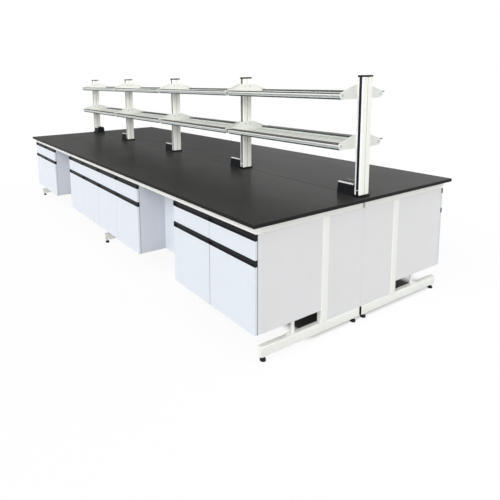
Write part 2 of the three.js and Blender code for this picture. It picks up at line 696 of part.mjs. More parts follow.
// Cabinets of the front row: one at each end and a pair in the middle
place(frontRow, 'cabinet_front_left', carcass(CABINET_LEFTS.left), GREY_BOARD);
place(
  frontRow,
  'cabinet_front_middle',
  join([carcass(CABINET_LEFTS.middle_left), carcass(CABINET_LEFTS.middle_right)]),
  GREY_BOARD,
);
place(frontRow, 'cabinet_front_right', carcass(CABINET_LEFTS.right), GREY_BOARD);
place(frontRow, 'knee_panel_front_left', kneePanel(-CABINET_WIDTH - KNEE_WIDTH, -CABINET_WIDTH), WHITE_BOARD);
place(frontRow, 'knee_panel_front_right', kneePanel(CABINET_WIDTH, CABINET_WIDTH + KNEE_WIDTH), WHITE_BOARD);

// Cabinets of the back row: one at each end, with one wide knee space between them
place(backRow, 'cabinet_back_left', carcass(CABINET_LEFTS.right), GREY_BOARD);
place(backRow, 'cabinet_back_right', carcass(CABINET_LEFTS.left), GREY_BOARD);
place(backRow, 'knee_panel_back', kneePanel(-CABINET_WIDTH - KNEE_WIDTH, CABINET_WIDTH + KNEE_WIDTH), WHITE_BOARD);

// Doors and drawers, numbered by column from the left end of the bench to the right
const COLUMN_COUNT = 2 * UNITS.length;
UNITS.forEach((unit, index) => {
  for (const outerSide of [-1, 1]) {
    const left = outerSide < 0 ? CABINET_LEFTS[unit] : CABINET_LEFTS[unit] + COLUMN_WIDTH;
    const column = 2 * index + (outerSide < 0 ? 1 : 2);
    place(frontRow, `drawer_front_${column}`, drawer(left, outerSide), WHITE_BOARD);
    place(frontRow, `door_front_${column}`, door(left, outerSide), WHITE_BOARD);
    if (unit === 'left' || unit === 'right') {
      const facing = COLUMN_COUNT + 1 - column;
      place(backRow, `drawer_back_${facing}`, drawer(left, outerSide), WHITE_BOARD);
      place(backRow, `door_back_${facing}`, door(left, outerSide), WHITE_BOARD);
    }
  }
});

// Reagent rack: posts and socket boxes, then the shelves of each bay, numbered from the left
for (const index of POSTS) {
  place(bench, `rack_post_${index + 1}`, rackPost(postX(index)), PALE_ALUMINIUM);
  place(bench, `socket_box_${index + 1}`, socketBox(index), BLACK_PLASTIC);
}
for (let bay = 0; bay < POST_COUNT - 1; bay += 1) {
  const left = postX(bay) + POST_WIDTH / 2;
  const right = postX(bay + 1) - POST_WIDTH / 2;
  place(bench, `shelf_lower_${bay + 1}`, shelf(left, right, TOP_HEIGHT + SHELF_LOWER_HEIGHT), SHELF_GREY);
  place(bench, `shelf_upper_${bay + 1}`, shelf(left, right, TOP_HEIGHT + SHELF_UPPER_HEIGHT), SHELF_GREY);
}

export default bench;
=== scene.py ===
"""Looks of a double-sided laboratory bench with a two-tier reagent rack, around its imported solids.

Lengths of the bench are in millimetres and turn to metres as a mesh is made; the finishes and the
studio are in metres. +X runs along the bench, the front row faces -Y, +Z is up and the origin is on
the floor under the middle.
"""

import logging
import math
from dataclasses import dataclass
from enum import Enum

import bmesh
import bpy
import numpy as np
from mathutils import Matrix, Vector


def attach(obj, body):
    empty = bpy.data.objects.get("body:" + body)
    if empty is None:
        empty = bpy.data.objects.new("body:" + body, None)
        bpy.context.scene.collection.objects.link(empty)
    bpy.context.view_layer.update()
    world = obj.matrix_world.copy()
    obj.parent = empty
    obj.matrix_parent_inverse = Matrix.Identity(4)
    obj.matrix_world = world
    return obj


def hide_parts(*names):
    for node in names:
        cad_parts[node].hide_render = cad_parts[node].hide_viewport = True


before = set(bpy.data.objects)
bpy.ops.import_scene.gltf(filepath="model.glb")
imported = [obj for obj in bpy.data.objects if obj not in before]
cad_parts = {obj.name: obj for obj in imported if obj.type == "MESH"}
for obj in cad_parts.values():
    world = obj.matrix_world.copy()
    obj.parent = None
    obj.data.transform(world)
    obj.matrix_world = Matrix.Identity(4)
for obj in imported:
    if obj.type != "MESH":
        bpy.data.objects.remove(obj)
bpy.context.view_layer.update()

LOG = logging.getLogger("lab_bench")
MM = 0.001
SKIN_DEPTH = 0.0001
SHARP_ABOVE = math.radians(34)
ROUND_ABOVE = math.radians(40)
MIX_ENDS, MIX_RESULT = (6, 7), 2
BOX_SIDES = np.array([[0, 4, 6, 2], [1, 3, 7, 5], [0, 1, 5, 4],
                      [2, 6, 7, 3], [0, 2, 3, 1], [4, 5, 7, 6]])
Span = tuple[float, float]
Limits = tuple[Span, Span, Span]
Triple = tuple[float, float, float]
Colour = tuple[int, int, int]


class Axis(Enum):
    """Direction that an outline is carried along, or turned about."""

    X = 0
    Y = 1
    Z = 2


class Row(Enum):
    """Side of the bench, as the sign of its X and Y against the front row's."""

    FRONT = 1
    BACK = -1


class Slot(Enum):
    """Material slots of the record."""

    STEEL = "white_steel"
    CASE = "grey_board"
    FRONT = "white_board"
    POST = "pale_aluminium"
    SHELF = "shelf_aluminium"
    SOCKET = "black_plastic"


def linear(colour: Colour) -> Triple:
    """Turns a screen colour of 0 to 255 into linear light: a line where dark, a power above.

    Args:
        colour: red, green and blue on the screen.

    Returns:
        The same colour in linear light, 0 to 1.
    """
    share = np.array(colour) / 255.0
    low, high = share / 12.92, ((share + 0.055) / 1.055) ** 2.4
    return tuple(np.where(share <= 0.04045, low, high).tolist())


class Socket:
    """Output of a shader node; arithmetic on it adds Math nodes."""

    def __init__(self, graph: "Graph", link: bpy.types.NodeSocket) -> None:
        """Keeps the graph and the output socket."""
        self.graph = graph
        self.link = link

    def _math(self, operation: str, left: "Socket | float", right: "Socket | float") -> "Socket":
        """Adds one Math node and returns its result."""
        return self.graph.node("ShaderNodeMath", {"operation": operation}, {0: left, 1: right})

    def __add__(self, other: "Socket | float") -> "Socket":
        """Sum."""
        return self._math("ADD", self, other)

    __radd__ = __add__

    def __sub__(self, other: "Socket | float") -> "Socket":
        """Difference."""
        return self._math("SUBTRACT", self, other)

    def __rsub__(self, other: float) -> "Socket":
        """Difference from a number."""
        return self._math("SUBTRACT", other, self)

    def __mul__(self, other: "Socket | float") -> "Socket":
        """Product."""
        return self._math("MULTIPLY", self, other)

    def __abs__(self) -> "Socket":
        """Size without its sign."""
        return self._math("ABSOLUTE", self, 0.0)

    def clamped(self) -> "Socket":
        """The value held between 0 and 1."""
        return self.graph.node("ShaderNodeClamp", {}, {0: self})

    def ramp(self, low: float, high: float) -> "Socket":
        """The share of the way from low to high, held between 0 and 1."""
        limits = {1: low, 2: high, 3: 0.0, 4: 1.0}
        return self.graph.node("ShaderNodeMapRange", {"clamp": True}, {0: self, **limits})


class Graph:
    """A node tree and the nodes added to it."""

    def __init__(self, tree: bpy.types.NodeTree) -> None:
        """Takes over a tree and empties it."""
        self.tree = tree
        tree.nodes.clear()

    def node(self, kind: str, settings: dict, inputs: dict, output: int | str = 0) -> Socket:
        """Adds a node.

        Args:
            kind: node type.
            settings: attributes of the node, set first.
            inputs: values or links by socket name or number.
            output: which of its outputs to hand back.

        Returns:
            The chosen output, empty where the node has none.
        """
        made = self.tree.nodes.new(kind)
        for key, value in settings.items():
            setattr(made, key, value)
        for key, value in inputs.items():
            if isinstance(value, Socket):
                self.tree.links.new(value.link, made.inputs[key])
            else:
                made.inputs[key].default_value = value
        return Socket(self, made.outputs[output] if made.outputs else None)

    def place(self, stretch: Triple = (1.0, 1.0, 1.0)) -> Socket:
        """Object coordinates, scaled along each axis."""
        raw = self.node("ShaderNodeTexCoord", {}, {}, "Object")
        return self.node("ShaderNodeMapping", {}, {"Vector": raw, "Scale": stretch})

    def along(self, axis: Axis) -> Socket:
        """Object coordinate along one axis, in metres."""
        return self.node("ShaderNodeSeparateXYZ", {}, {0: self.place()}, axis.value)

    def noise(self, where: Socket, scale: float, detail: float = 3.0) -> Socket:
        """Cloudy noise of about 0 to 1 whose features are about 1 / scale metres."""
        inputs = {"Vector": where, "Scale": scale, "Detail": detail}
        return self.node("ShaderNodeTexNoise", {}, inputs)

    def mix(self, share: Socket, first: "Colour | Socket", second: "Colour | Socket") -> Socket:
        """Mixes two colours by a share.

        Args:
            share: 0 for the first colour, 1 for the second.
            first: screen colour or socket.
            second: screen colour or socket.

        Returns:
            The mixed colour.
        """
        ends = [end if isinstance(end, Socket) else (*linear(end), 1.0) for end in (first, second)]
        inputs = {0: share, **dict(zip(MIX_ENDS, ends))}
        return self.node("ShaderNodeMix", {"data_type": "RGBA"}, inputs, MIX_RESULT)

    def blend(self, share: Socket, first: Socket, second: Socket) -> Socket:
        """Shader between two by a share."""
        return self.node("ShaderNodeMixShader", {}, {0: share, 1: first, 2: second})

    def seen(self) -> Socket:
        """Marks the rays that see the backdrop itself: camera, glossy and transmission rays.

        Returns:
            1 for those rays and 0 for the others.
        """
        kinds = ("Is Camera Ray", "Is Glossy Ray", "Is Transmission Ray")
        camera, glossy, passed = (self.node("ShaderNodeLightPath", {}, {}, kind) for kind in kinds)
        return (camera + glossy + passed).clamped()


class Surface(Graph):
    """Node tree of one material with a Principled shader at its end."""

    def __init__(self, name: str) -> None:
        """Makes an empty material.

        Args:
            name: its name.
        """
        self.material = bpy.data.materials.new(name)
        self.material.use_nodes = True
        self.looks: dict[str, Socket | float] = {}
        super().__init__(self.material.node_tree)

    def dress(self, **looks: "Socket | float") -> None:
        """Keeps values for the shader's sockets, named with _ for a space."""
        self.looks.update({key.replace("_", " "): value for key, value in looks.items()})

    def bump(self, height: Socket, strength: float, depth: float = SKIN_DEPTH) -> None:
        """Raises the shader's normal by a height map, depth in metres."""
        inputs = {"Strength": strength, "Distance": depth, "Height": height}
        self.dress(Normal=self.node("ShaderNodeBump", {}, inputs))

    def close(self) -> bpy.types.Material:
        """Adds the shader and the output.

        Returns:
            The finished material.
        """
        shader = self.node("ShaderNodeBsdfPrincipled", {}, self.looks)
        self.node("ShaderNodeOutputMaterial", {}, {0: shader})
        return self.material


@dataclass(frozen=True)
class Finish:
    """Surface finish: a colour that drifts to a second one, a roughness and its spread."""

    name: str
    colour: Colour
    drift: Colour
    roughness: float
    spread: float = 0.08

    def material(self) -> bpy.types.Material:
        """Makes the finish's material the first time and finds it after that.

        Returns:
            The material.
        """
        found = bpy.data.materials.get(self.name)
        if found is None:
            graph = Surface(self.name)
            self.paint(graph)
            found = graph.close()
        return found

    def lay(self, graph: Surface, share: Socket, noise: Socket) -> None:
        """Mixes the two colours by a share and spreads the roughness by a noise of 0 to 1."""
        graph.dress(Base_Color=graph.mix(share, self.colour, self.drift))
        graph.dress(Roughness=self.roughness + (noise - 0.5) * self.spread)

    def paint(self, graph: Surface) -> None:
        """Draws the finish in the graph; each kind of finish has its own way."""
        raise NotImplementedError


@dataclass(frozen=True)
class PowderCoat(Finish):
    """Baked powder on steel: orange-peel skin, slight clouding, a little dust near the floor."""

    peel: float = 0.0016
    relief: float = 0.06
    gloss: float = 0.2
    clouds: float = 5.0
    dust: Colour = (206, 203, 196)
    dust_height: Span = (0.03, 0.2)
    dust_grain: float = 38.0
    dust_share: float = 0.16
    dust_dulls: float = 0.1

    def paint(self, graph: Surface) -> None:
        """Clouds mix the two colours, fine noise raises the skin, low parts take some dust.

        Args:
            graph: node tree of the finish's material.
        """
        where = graph.place()
        cloud = graph.noise(where, self.clouds)
        skin = graph.noise(where, 1.0 / self.peel, 2.0)
        grains = graph.noise(where, self.dust_grain, 5.0).ramp(0.42, 0.75)
        dusty = (1.0 - graph.along(Axis.Z).ramp(*self.dust_height)) * grains
        clean = graph.mix(cloud.ramp(0.35, 0.7), self.colour, self.drift)
        graph.dress(Base_Color=graph.mix(dusty * self.dust_share, clean, self.dust))
        rough = self.roughness + (cloud - 0.5) * self.spread + dusty * self.dust_dulls
        graph.dress(Roughness=rough, Specular_IOR_Level=self.gloss)
        graph.bump(skin, self.relief)


@dataclass(frozen=True)
class Laminate(Finish):
    """Pressed laminate on board: faint upright streaks, a pearl skin and wiped-off smudges."""

    streaks: Triple = (26.0, 26.0, 0.9)
    smudges: float = 9.0
    pearl: float = 0.0009
    relief: float = 0.05
    coat: float = 0.08
    coat_roughness: float = 0.22

    def paint(self, graph: Surface) -> None:
        """Stretched noise gives the streaks, cloudy noise the smudges, fine noise the pearl.

        Args:
            graph: node tree of the finish's material.
        """
        streaks = graph.noise(graph.place(self.streaks), 1.0, 4.0)
        where = graph.place()
        smudge = graph.noise(where, self.smudges, 5.0)
        share = (streaks.ramp(0.3, 0.72) * 0.5 + smudge.ramp(0.4, 0.8) * 0.5).clamped()
        self.lay(graph, share, smudge)
        graph.dress(Coat_Weight=self.coat, Coat_Roughness=self.coat_roughness)
        graph.bump(graph.noise(where, 1.0 / self.pearl, 2.0), self.relief)


@dataclass(frozen=True)
class Resin(Finish):
    """Cast resin slab: specks, slow clouds and wipe marks under a satin sheen, and edges darkened by
    painted shade.
    """

    # Darker colour below the top face: painted shade on the slab's edges.
    edge: Colour = (34, 34, 33)
    shaded_edge_ends: Span = (0.8484, 0.8492)
    speck: float = 0.0022
    speck_colour: Colour = (84, 86, 84)
    speck_share: float = 0.3
    clouds: float = 2.2
    wipes: Triple = (1.0, 2.6, 2.6)
    wipe_scale: float = 1.8
    sheen: float = 0.2
    sheen_roughness: float = 0.28

    def paint(self, graph: Surface) -> None:
        """Specks where fine noise peaks, clouds in the colour, wipe marks in the sheen's weight,
        painted shade on the edges.

        Args:
            graph: node tree of the finish's material.
        """
        where = graph.place()
        cloud = graph.noise(where, self.clouds, 4.0)
        wipe = graph.noise(graph.place(self.wipes), self.wipe_scale, 4.0)
        specks = graph.noise(where, 1.0 / self.speck, 1.0).ramp(0.66, 0.8)
        face = graph.mix(cloud.ramp(0.3, 0.75), self.colour, self.drift)
        # Below the top face the colour turns to the darker edge tone, which is painted shade.
        body = graph.mix(graph.along(Axis.Z).ramp(*self.shaded_edge_ends), self.edge, face)
        graph.dress(Base_Color=graph.mix(specks * self.speck_share, body, self.speck_colour))
        graph.dress(Roughness=self.roughness, Specular_IOR_Level=0.0)
        graph.dress(Coat_Weight=self.sheen + (wipe - 0.5) * self.spread)
        graph.dress(Coat_Roughness=self.sheen_roughness)


@dataclass(frozen=True)
class Metal(Finish):
    """Drawn or extruded metal: fine lines along its length under a thin finish."""

    lines: Triple = (0.6, 900.0, 900.0)
    clouds: float = 12.0
    metallic: float = 1.0
    relief: float = 0.12
    line_depth: float = 0.00006
    gloss: float = 0.5

    def paint(self, graph: Surface) -> None:
        """Noise stretched along the drawing direction shades the colour, gloss and skin.

        Args:
            graph: node tree of the finish's material.
        """
        drawn = graph.noise(graph.place(self.lines), 1.0, 2.0)
        cloud = graph.noise(graph.place(), self.clouds, 4.0)
        share = (drawn.ramp(0.3, 0.7) * 0.6 + cloud.ramp(0.35, 0.75) * 0.4).clamped()
        self.lay(graph, share, drawn)
        graph.dress(Metallic=self.metallic, Specular_IOR_Level=self.gloss)
        graph.bump(drawn, self.relief, self.line_depth)


@dataclass(frozen=True)
class Moulded(Finish):
    """Moulded plastic or rubber: spark-textured skin, dull patches where it is handled."""

    grain: float = 0.0011
    patches: float = 24.0
    relief: float = 0.22
    gloss: float = 0.5

    def paint(self, graph: Surface) -> None:
        """Fine noise raises the skin; slow noise shifts colour and gloss.

        Args:
            graph: node tree of the finish's material.
        """
        where = graph.place()
        handled = graph.noise(where, self.patches, 4.0)
        self.lay(graph, handled.ramp(0.35, 0.75), handled)
        graph.dress(Specular_IOR_Level=self.gloss)
        graph.bump(graph.noise(where, 1.0 / self.grain, 2.0), self.relief)


WORKTOP_RESIN = Resin("worktop_resin", (54, 55, 53), (61, 61, 59), 0.6, 0.06)
FRAME_COAT = PowderCoat("frame_powder_coat", (245, 246, 241), (242, 243, 237), 0.42)
BEAM_COAT = PowderCoat("beam_powder_coat", (253, 253, 250), (251, 251, 247), 0.42)
FRONT_LAMINATE = Laminate("front_laminate", (226, 232, 239), (222, 229, 236), 0.34)
CASE_LAMINATE = Laminate("case_laminate", (228, 228, 229), (225, 225, 225), 0.42)
# Darker, cooler laminate for the boards facing a knee space: painted shade.
SHADED_KNEE_LAMINATE = Laminate("knee_side_laminate", (212, 216, 224), (208, 212, 220), 0.42)
INNER_LAMINATE = Laminate("inner_laminate", (228, 229, 228), (222, 223, 223), 0.5, coat=0.0)
PULL_BLACK = Metal("pull_anodised", (21, 22, 26), (15, 16, 20), 0.42, 0.1, metallic=0.0, gloss=0.2)
POST_COAT = Metal("post_anodised", (250, 250, 243), (247, 247, 239), 0.4, 0.06,
                  lines=(900.0, 900.0, 0.6), metallic=0.05, relief=0.02)
GROOVE_INLAY = Moulded("groove_inlay", (186, 181, 165), (178, 173, 157), 0.55)
STRIP_NAVY = Moulded("slot_strip", (18, 22, 52), (14, 17, 40), 0.42, gloss=0.2)
PLATE_COAT = PowderCoat("plate_powder_coat", (234, 236, 229), (230, 232, 224), 0.45)
RAIL_METAL = Metal("rail_anodised", (238, 244, 241), (229, 236, 233), 0.34, 0.1, metallic=0.15)
RAIL_BEAD = Metal("rail_bead", (246, 247, 243), (240, 241, 237), 0.3, 0.1, metallic=0.1)
RAIL_TRIM = Moulded("rail_trim", (84, 85, 82), (74, 75, 72), 0.55, gloss=0.25)
RAIL_FOOT = Moulded("rail_foot_trim", (50, 60, 59), (42, 51, 50), 0.55, gloss=0.25)
BOARD_METAL = Metal("shelf_board", (230, 232, 226), (217, 219, 213), 0.42, 0.1, metallic=0.2)
BOARD_INLAY = Moulded("board_inlay", (158, 160, 154), (148, 150, 144), 0.6, gloss=0.2)
SOCKET_BLACK = Moulded("socket_plastic", (34, 36, 40), (27, 29, 33), 0.5, gloss=0.06)
# Bright strips along the socket box's top edges: painted highlight of its glossy bevels.
SOCKET_HIGHLIGHT_STRIP = Metal("socket_edge", (240, 240, 237), (230, 230, 228), 0.3, 0.1, metallic=0.2)
# Dark grey strips in the door gaps and on the case edges: painted shade.
GAP_SHADE_GREY = Moulded("gap_painted_shade", (62, 61, 62), (54, 53, 54), 0.7, gloss=0.1)
CAP_BLACK = Moulded("cap_plastic", (20, 21, 24), (14, 15, 18), 0.5, gloss=0.12)
FOOT_RUBBER = Moulded("foot_rubber", (18, 19, 21), (25, 25, 26), 0.62,
                      grain=0.0018, relief=0.35, gloss=0.2)
ZINC = Metal("zinc_steel", (196, 199, 202), (178, 182, 187), 0.34, 0.16)
NICKEL = Metal("hinge_nickel", (196, 194, 188), (178, 176, 170), 0.26, 0.12)


def ordered(first: float, second: float) -> Span:
    """The two values, the lower one first."""
    return min(first, second), max(first, second)


def arc(x: float, y: float, radius: float, start: float, end: float, steps: int = 5) -> np.ndarray:
    """Points on a circle, centre plus radius times cosine and sine of an even run of angles.

    Args:
        x: centre.
        y: centre.
        radius: circle's radius.
        start: first angle in degrees.
        end: last angle in degrees.
        steps: number of chords.

    Returns:
        Array of steps + 1 points.
    """
    turn = np.radians(np.linspace(start, end, steps + 1))
    return np.column_stack([x + radius * np.cos(turn), y + radius * np.sin(turn)])


def hexagon(x: float, y: float, radius: float) -> np.ndarray:
    """Outline of a nut: six points on a circle, a sixth of a turn apart."""
    return arc(x, y, radius, 0, 300, 5)


def rounded(width: float, height: float, radius: float, x: float = 0.0,
            y: float = 0.0) -> np.ndarray:
    """Rectangle whose four corners are quarter circles.

    Args:
        width: along the outline's first direction.
        height: along its second.
        radius: corner radius.
        x: centre.
        y: centre.

    Returns:
        Outline points, anticlockwise.
    """
    a, b = width / 2 - radius, height / 2 - radius
    corners = [(a, -b, -90), (a, b, 0), (-a, b, 90), (-a, -b, 180)]
    return np.vstack([arc(x + u, y + v, radius, turn, turn + 90) for u, v, turn in corners])


class Shell:
    """Closed surfaces of one piece, gathered as arrays of points and faces in millimetres."""

    def __init__(self) -> None:
        """Starts empty."""
        self.points = np.zeros((0, 3))
        self.faces: list[list[int]] = []

    def _add(self, points: np.ndarray, faces: list[list[int]]) -> "Shell":
        """Appends points and faces.

        Args:
            points: corner points.
            faces: corners of each face, numbered from zero.

        Returns:
            This shell.
        """
        first = len(self.points)
        self.points = np.vstack([self.points, points.reshape(-1, 3)])
        self.faces += [[first + corner for corner in face] for face in faces]
        return self

    def join(self, other: "Shell") -> "Shell":
        """Takes in the surfaces of another shell."""
        return self._add(other.points, other.faces)

    def boxes(self, *limits: Limits) -> "Shell":
        """Adds boxes: corner k takes the low or high limit of each axis by the bits of k.

        Args:
            limits: low and high limit of each box along X, Y and Z.

        Returns:
            This shell.
        """
        ends = np.array(limits, float)
        bits = np.arange(8)[:, None] >> np.arange(3) & 1
        points = np.where(bits[None] == 1, ends[:, None, :, 1], ends[:, None, :, 0])
        faces = BOX_SIDES[None] + 8 * np.arange(len(ends))[:, None, None]
        return self._add(points, faces.reshape(-1, 4).tolist())

    def sweep(self, outline: np.ndarray, axis: Axis, start: float, end: float) -> "Shell":
        """Carries a flat outline straight along an axis and closes both ends.

        Args:
            outline: points in the two other axes, in X, Y, Z order.
            axis: direction of the sweep.
            start: place of the first end.
            end: place of the second end.

        Returns:
            This shell.
        """
        count = len(outline)
        across = [a for a in range(3) if a != axis.value]
        rings = np.zeros((2, count, 3))
        rings[:, :, across] = outline
        rings[:, :, axis.value] = np.array([[start], [end]])
        here = np.arange(count)
        after = (here + 1) % count
        sides = np.stack([here, after, after + count, here + count], 1).tolist()
        return self._add(rings, sides + [here[::-1].tolist(), (here + count).tolist()])

    def turn(self, profile: "np.ndarray | list[Span]", axis: Axis, centre: Span,
             steps: int = 28) -> "Shell":
        """Turns a profile about a line: centre plus radius times cosine and sine, height along it.

        Args:
            profile: radius and height of each ring, from one end to the other.
            axis: direction of the line.
            centre: where it stands, in the two other axes.
            steps: points round a ring.

        Returns:
            This shell.
        """
        radius, height = np.array(profile, float).T
        angle = np.linspace(0.0, 2 * math.pi, steps, endpoint=False)
        first, second = [a for a in range(3) if a != axis.value]
        grid = np.zeros((len(radius), steps, 3))
        grid[..., first] = centre[0] + radius[:, None] * np.cos(angle)
        grid[..., second] = centre[1] + radius[:, None] * np.sin(angle)
        grid[..., axis.value] = height[:, None]
        ring = steps * np.arange(len(radius) - 1)[:, None]
        here = np.arange(steps)
        after = (here + 1) % steps
        quads = np.stack([ring + here, ring + after, ring + steps + after, ring + steps + here], -1)
        last = steps * (len(radius) - 1) + here
        return self._add(grid, quads.reshape(-1, 4).tolist() + [here[::-1].tolist(), last.tolist()])


@dataclass
class Maker:
    """Makes the finished pieces of one sub-assembly, which ride on one body, in one row."""

    name: str
    row: Row = Row.FRONT
    body: str = "bench"

    def piece(self, part: str, shell: Shell, finish: Finish, slot: Slot, edge: float = 0.0,
              stands_for: str = "") -> None:
        """Turns a shell into a mesh object in metres, riding on the maker's body.

        Args:
            part: the piece's name within the sub-assembly.
            shell: its closed surfaces.
            finish: its finish.
            slot: the record's slot that it takes after; not used.
            edge: width of the rounding on its sharp edges, in millimetres.
            stands_for: CAD node that it replaces, if any.
        """
        name, sign = f"{self.name}_{part}", self.row.value
        mesh = bpy.data.meshes.new(name)
        mesh.from_pydata((shell.points * MM * (sign, sign, 1)).tolist(), [], shell.faces)
        work = bmesh.new()
        work.from_mesh(mesh)
        bmesh.ops.recalc_face_normals(work, faces=work.faces)
        work.to_mesh(mesh)
        work.free()
        mesh.polygons.foreach_set("use_smooth", np.ones(len(mesh.polygons), bool))
        mesh.set_sharp_from_angle(angle=SHARP_ABOVE)
        mesh.materials.append(finish.material())
        made = bpy.data.objects.new(name, mesh)
        bpy.context.scene.collection.objects.link(made)
        if edge:
            rounding = made.modifiers.new("edge", "BEVEL")
            rounding.width = edge * MM
            rounding.segments = 2
            rounding.limit_method = "ANGLE"
            rounding.angle_limit = ROUND_ABOVE
            rounding.harden_normals = True
        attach(made, self.body)
        if stands_for:
            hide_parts(stands_for)
        LOG.info("%s: %d faces on %s", name, len(mesh.polygons), self.body)


def coat_node(node: str, finish: Finish) -> None:
    """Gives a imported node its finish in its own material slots.

    Args:
        node: the node's name.
        finish: its finish.
    """
    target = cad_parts[node]
    if not target.material_slots:
        target.data.materials.append(None)
    for place in target.material_slots:
        place.link = "OBJECT"
        place.material = finish.material()
    LOG.info("%s keeps its solid and takes %s", node, finish.name)


@dataclass(frozen=True)
class Levels:
    """Places that the sub-assemblies share. Depths are front-row Y."""

    seat: float = 848.0
    top: float = 850.0
    arm_bottom: float = 778.0
    underside: float = 826.0
    bar_top: float = 96.0
    bar_height: float = 64.0
    end_face: float = 2363.0
    frame_middle: float = 2347.0
    post_middle: float = 2340.0
    post_half: float = 21.0
    skirt_half: float = 26.0
    cabinet_bottom: float = 180.0
    cabinet_width: float = 886.0
    column: float = 443.0
    board: float = 18.0
    front_face: float = -910.0
    front_back: float = -892.0
    case_front: float = -890.0
    case_back: float = -376.0
    drawer_bottom: float = 627.0
    drawer_pull: float = 738.0
    door_pull: float = 587.0
    pull_height: float = 36.0
    shelf_bases: Span = (1166.0, 1480.0)


L = Levels()


@dataclass
class Frame:
    """C-shaped tube frame with its levelling feet, cabinet brackets and end panel.

    The sides of its brackets and of its end panel are -1 for the left and 1 for the right.
    """

    x: float
    row: Row
    name: str
    brackets: tuple[int, ...] = ()
    end: int = 0
    width: float = 36.0
    corner: float = 4.0
    leg_depth: float = 58.0
    inner: float = -11.0
    bar_front: float = -863.5
    arm_front: float = -870.0
    cap: float = 1.5
    plug: float = 1.0
    sunk: float = 5.0
    weld: float = 3.0
    feet_at: Span = (-838.0, -52.0)
    stem: Span = (20.0, 34.0)
    lock_nut: Span = (25.0, 32.0)
    lock_nut_radius: float = 11.0
    bracket_near: float = 2.0
    bracket_far: float = 14.0
    bracket_seat: float = 94.0
    foot_top: float = 100.0
    upright: Span = (-610.0, -586.0)
    foot: Span = (-650.0, -610.0)
    rail_end: float = 112.0
    rail_width: float = 23.0
    rail_height: float = 29.6
    rail_middle: float = 165.0
    rail_corner: float = 3.0
    bolt_radius: float = 4.4

    @property
    def bar_middle(self) -> float:
        """Height of the foot bar's middle."""
        return L.bar_top - L.bar_height / 2

    def tubes(self) -> Shell:
        """Foot bar, leg and arm, each a rounded tube section carried along its length.

        Returns:
            The tubes.
        """
        x, w, r = self.x, self.width, self.corner
        bar = rounded(w, L.bar_height, r, x, self.bar_middle)
        arm = rounded(w, L.underside - L.arm_bottom, r, x, (L.underside + L.arm_bottom) / 2)
        leg = rounded(w, self.leg_depth, r, x, L.case_back + self.leg_depth / 2)
        shell = Shell().sweep(bar, Axis.Y, self.bar_front, self.inner)
        shell.sweep(leg, Axis.Z, L.bar_top - self.sunk, L.arm_bottom + self.sunk)
        return shell.sweep(arm, Axis.Y, self.arm_front, self.inner)

    def welds(self) -> Shell:
        """Rounded weld beads at the foot and head of the leg, as rods across the tube.

        Returns:
            The beads.
        """
        shell, reach = Shell(), self.width / 2 - self.weld
        for y in (L.case_back, L.case_back + self.leg_depth):
            for z in (L.bar_top, L.arm_bottom):
                rod = arc(y, z, self.weld, 0, 330, 11)
                shell.sweep(rod, Axis.X, self.x - reach, self.x + reach)
        return shell

    def feet(self) -> tuple[Shell, Shell]:
        """Pads as turned rubber discs, and stems with a thread and a lock nut.

        Returns:
            The pads and the stems.
        """
        pads, stems = Shell(), Shell()
        pad = [(15, 0), (18, 1.4), (18, 13), (16.6, 14.8), (10, 18.6), (8.6, 21)]
        ridge = np.arange(*self.stem)
        thread = np.column_stack([6.6 + 0.7 * (np.arange(len(ridge)) % 2), ridge])
        for y in self.feet_at:
            pads.turn(pad, Axis.Z, (self.x, y))
            stems.turn(thread, Axis.Z, (self.x, y), 20)
            stems.sweep(hexagon(self.x, y, self.lock_nut_radius), Axis.Z, *self.lock_nut)
        return pads, stems

    def supports(self) -> tuple[Shell, Shell]:
        """Brackets under the cabinets: a footed upright, a rounded rail and a bolt on a washer.

        Returns:
            The brackets and the bolts.
        """
        plates, bolts, top = Shell(), Shell(), self.foot_top
        middle = (sum(self.upright) / 2, self.rail_middle)
        rail = rounded(self.rail_width, self.rail_height, self.rail_corner, *middle)
        washer = [(5.4, top - 0.4), (5.4, top + 1.2), (4.9, top + 1.4)]
        for side in self.brackets:
            near, far = self.x + side * self.bracket_near, self.x + side * self.bracket_far
            across = ordered(near, far)
            plates.boxes((across, self.upright, (self.bracket_seat, L.cabinet_bottom)),
                         (across, self.foot, (self.bracket_seat, top)))
            plates.sweep(rail, Axis.X, *ordered(far, self.x + side * self.rail_end))
            centre = ((near + far) / 2, sum(self.foot) / 2)
            bolts.turn(washer, Axis.Z, centre, 20)
            bolts.sweep(hexagon(*centre, self.bolt_radius), Axis.Z, top + 1.0, top + 4.8)
        return plates, bolts

    def build(self) -> None:
        """Makes the frame's pieces."""
        maker = Maker(self.name, self.row)
        maker.piece("tubes", self.tubes(), FRAME_COAT, Slot.STEEL, stands_for=self.name)
        maker.piece("welds", self.welds(), FRAME_COAT, Slot.STEEL)
        end = rounded(self.width - 1, L.bar_height - 1, self.corner, self.x, self.bar_middle)
        cap = Shell().sweep(end, Axis.Y, self.bar_front - self.cap, self.bar_front)
        maker.piece("bar_cap", cap, FRAME_COAT, Slot.STEEL, edge=0.6)
        plug = Shell().sweep(end, Axis.Y, self.inner, self.inner + self.plug)
        maker.piece("bar_plug", plug, CAP_BLACK, Slot.SOCKET)
        pads, stems = self.feet()
        maker.piece("pads", pads, FOOT_RUBBER, Slot.SOCKET)
        maker.piece("stems", stems, ZINC, Slot.STEEL)
        if self.brackets:
            plates, bolts = self.supports()
            maker.piece("brackets", plates, FRAME_COAT, Slot.STEEL, edge=0.8)
            maker.piece("bracket_bolts", bolts, FRAME_COAT, Slot.STEEL)
        if self.end:
            thickness = ordered(self.end * (L.end_face - L.board), self.end * L.end_face)
            depth = (L.case_back + self.leg_depth, -0.5)
            panel = Shell().boxes((thickness, depth, (L.bar_top, L.arm_bottom)))
            maker.piece("end_panel", panel, CASE_LAMINATE, Slot.CASE, edge=0.8)


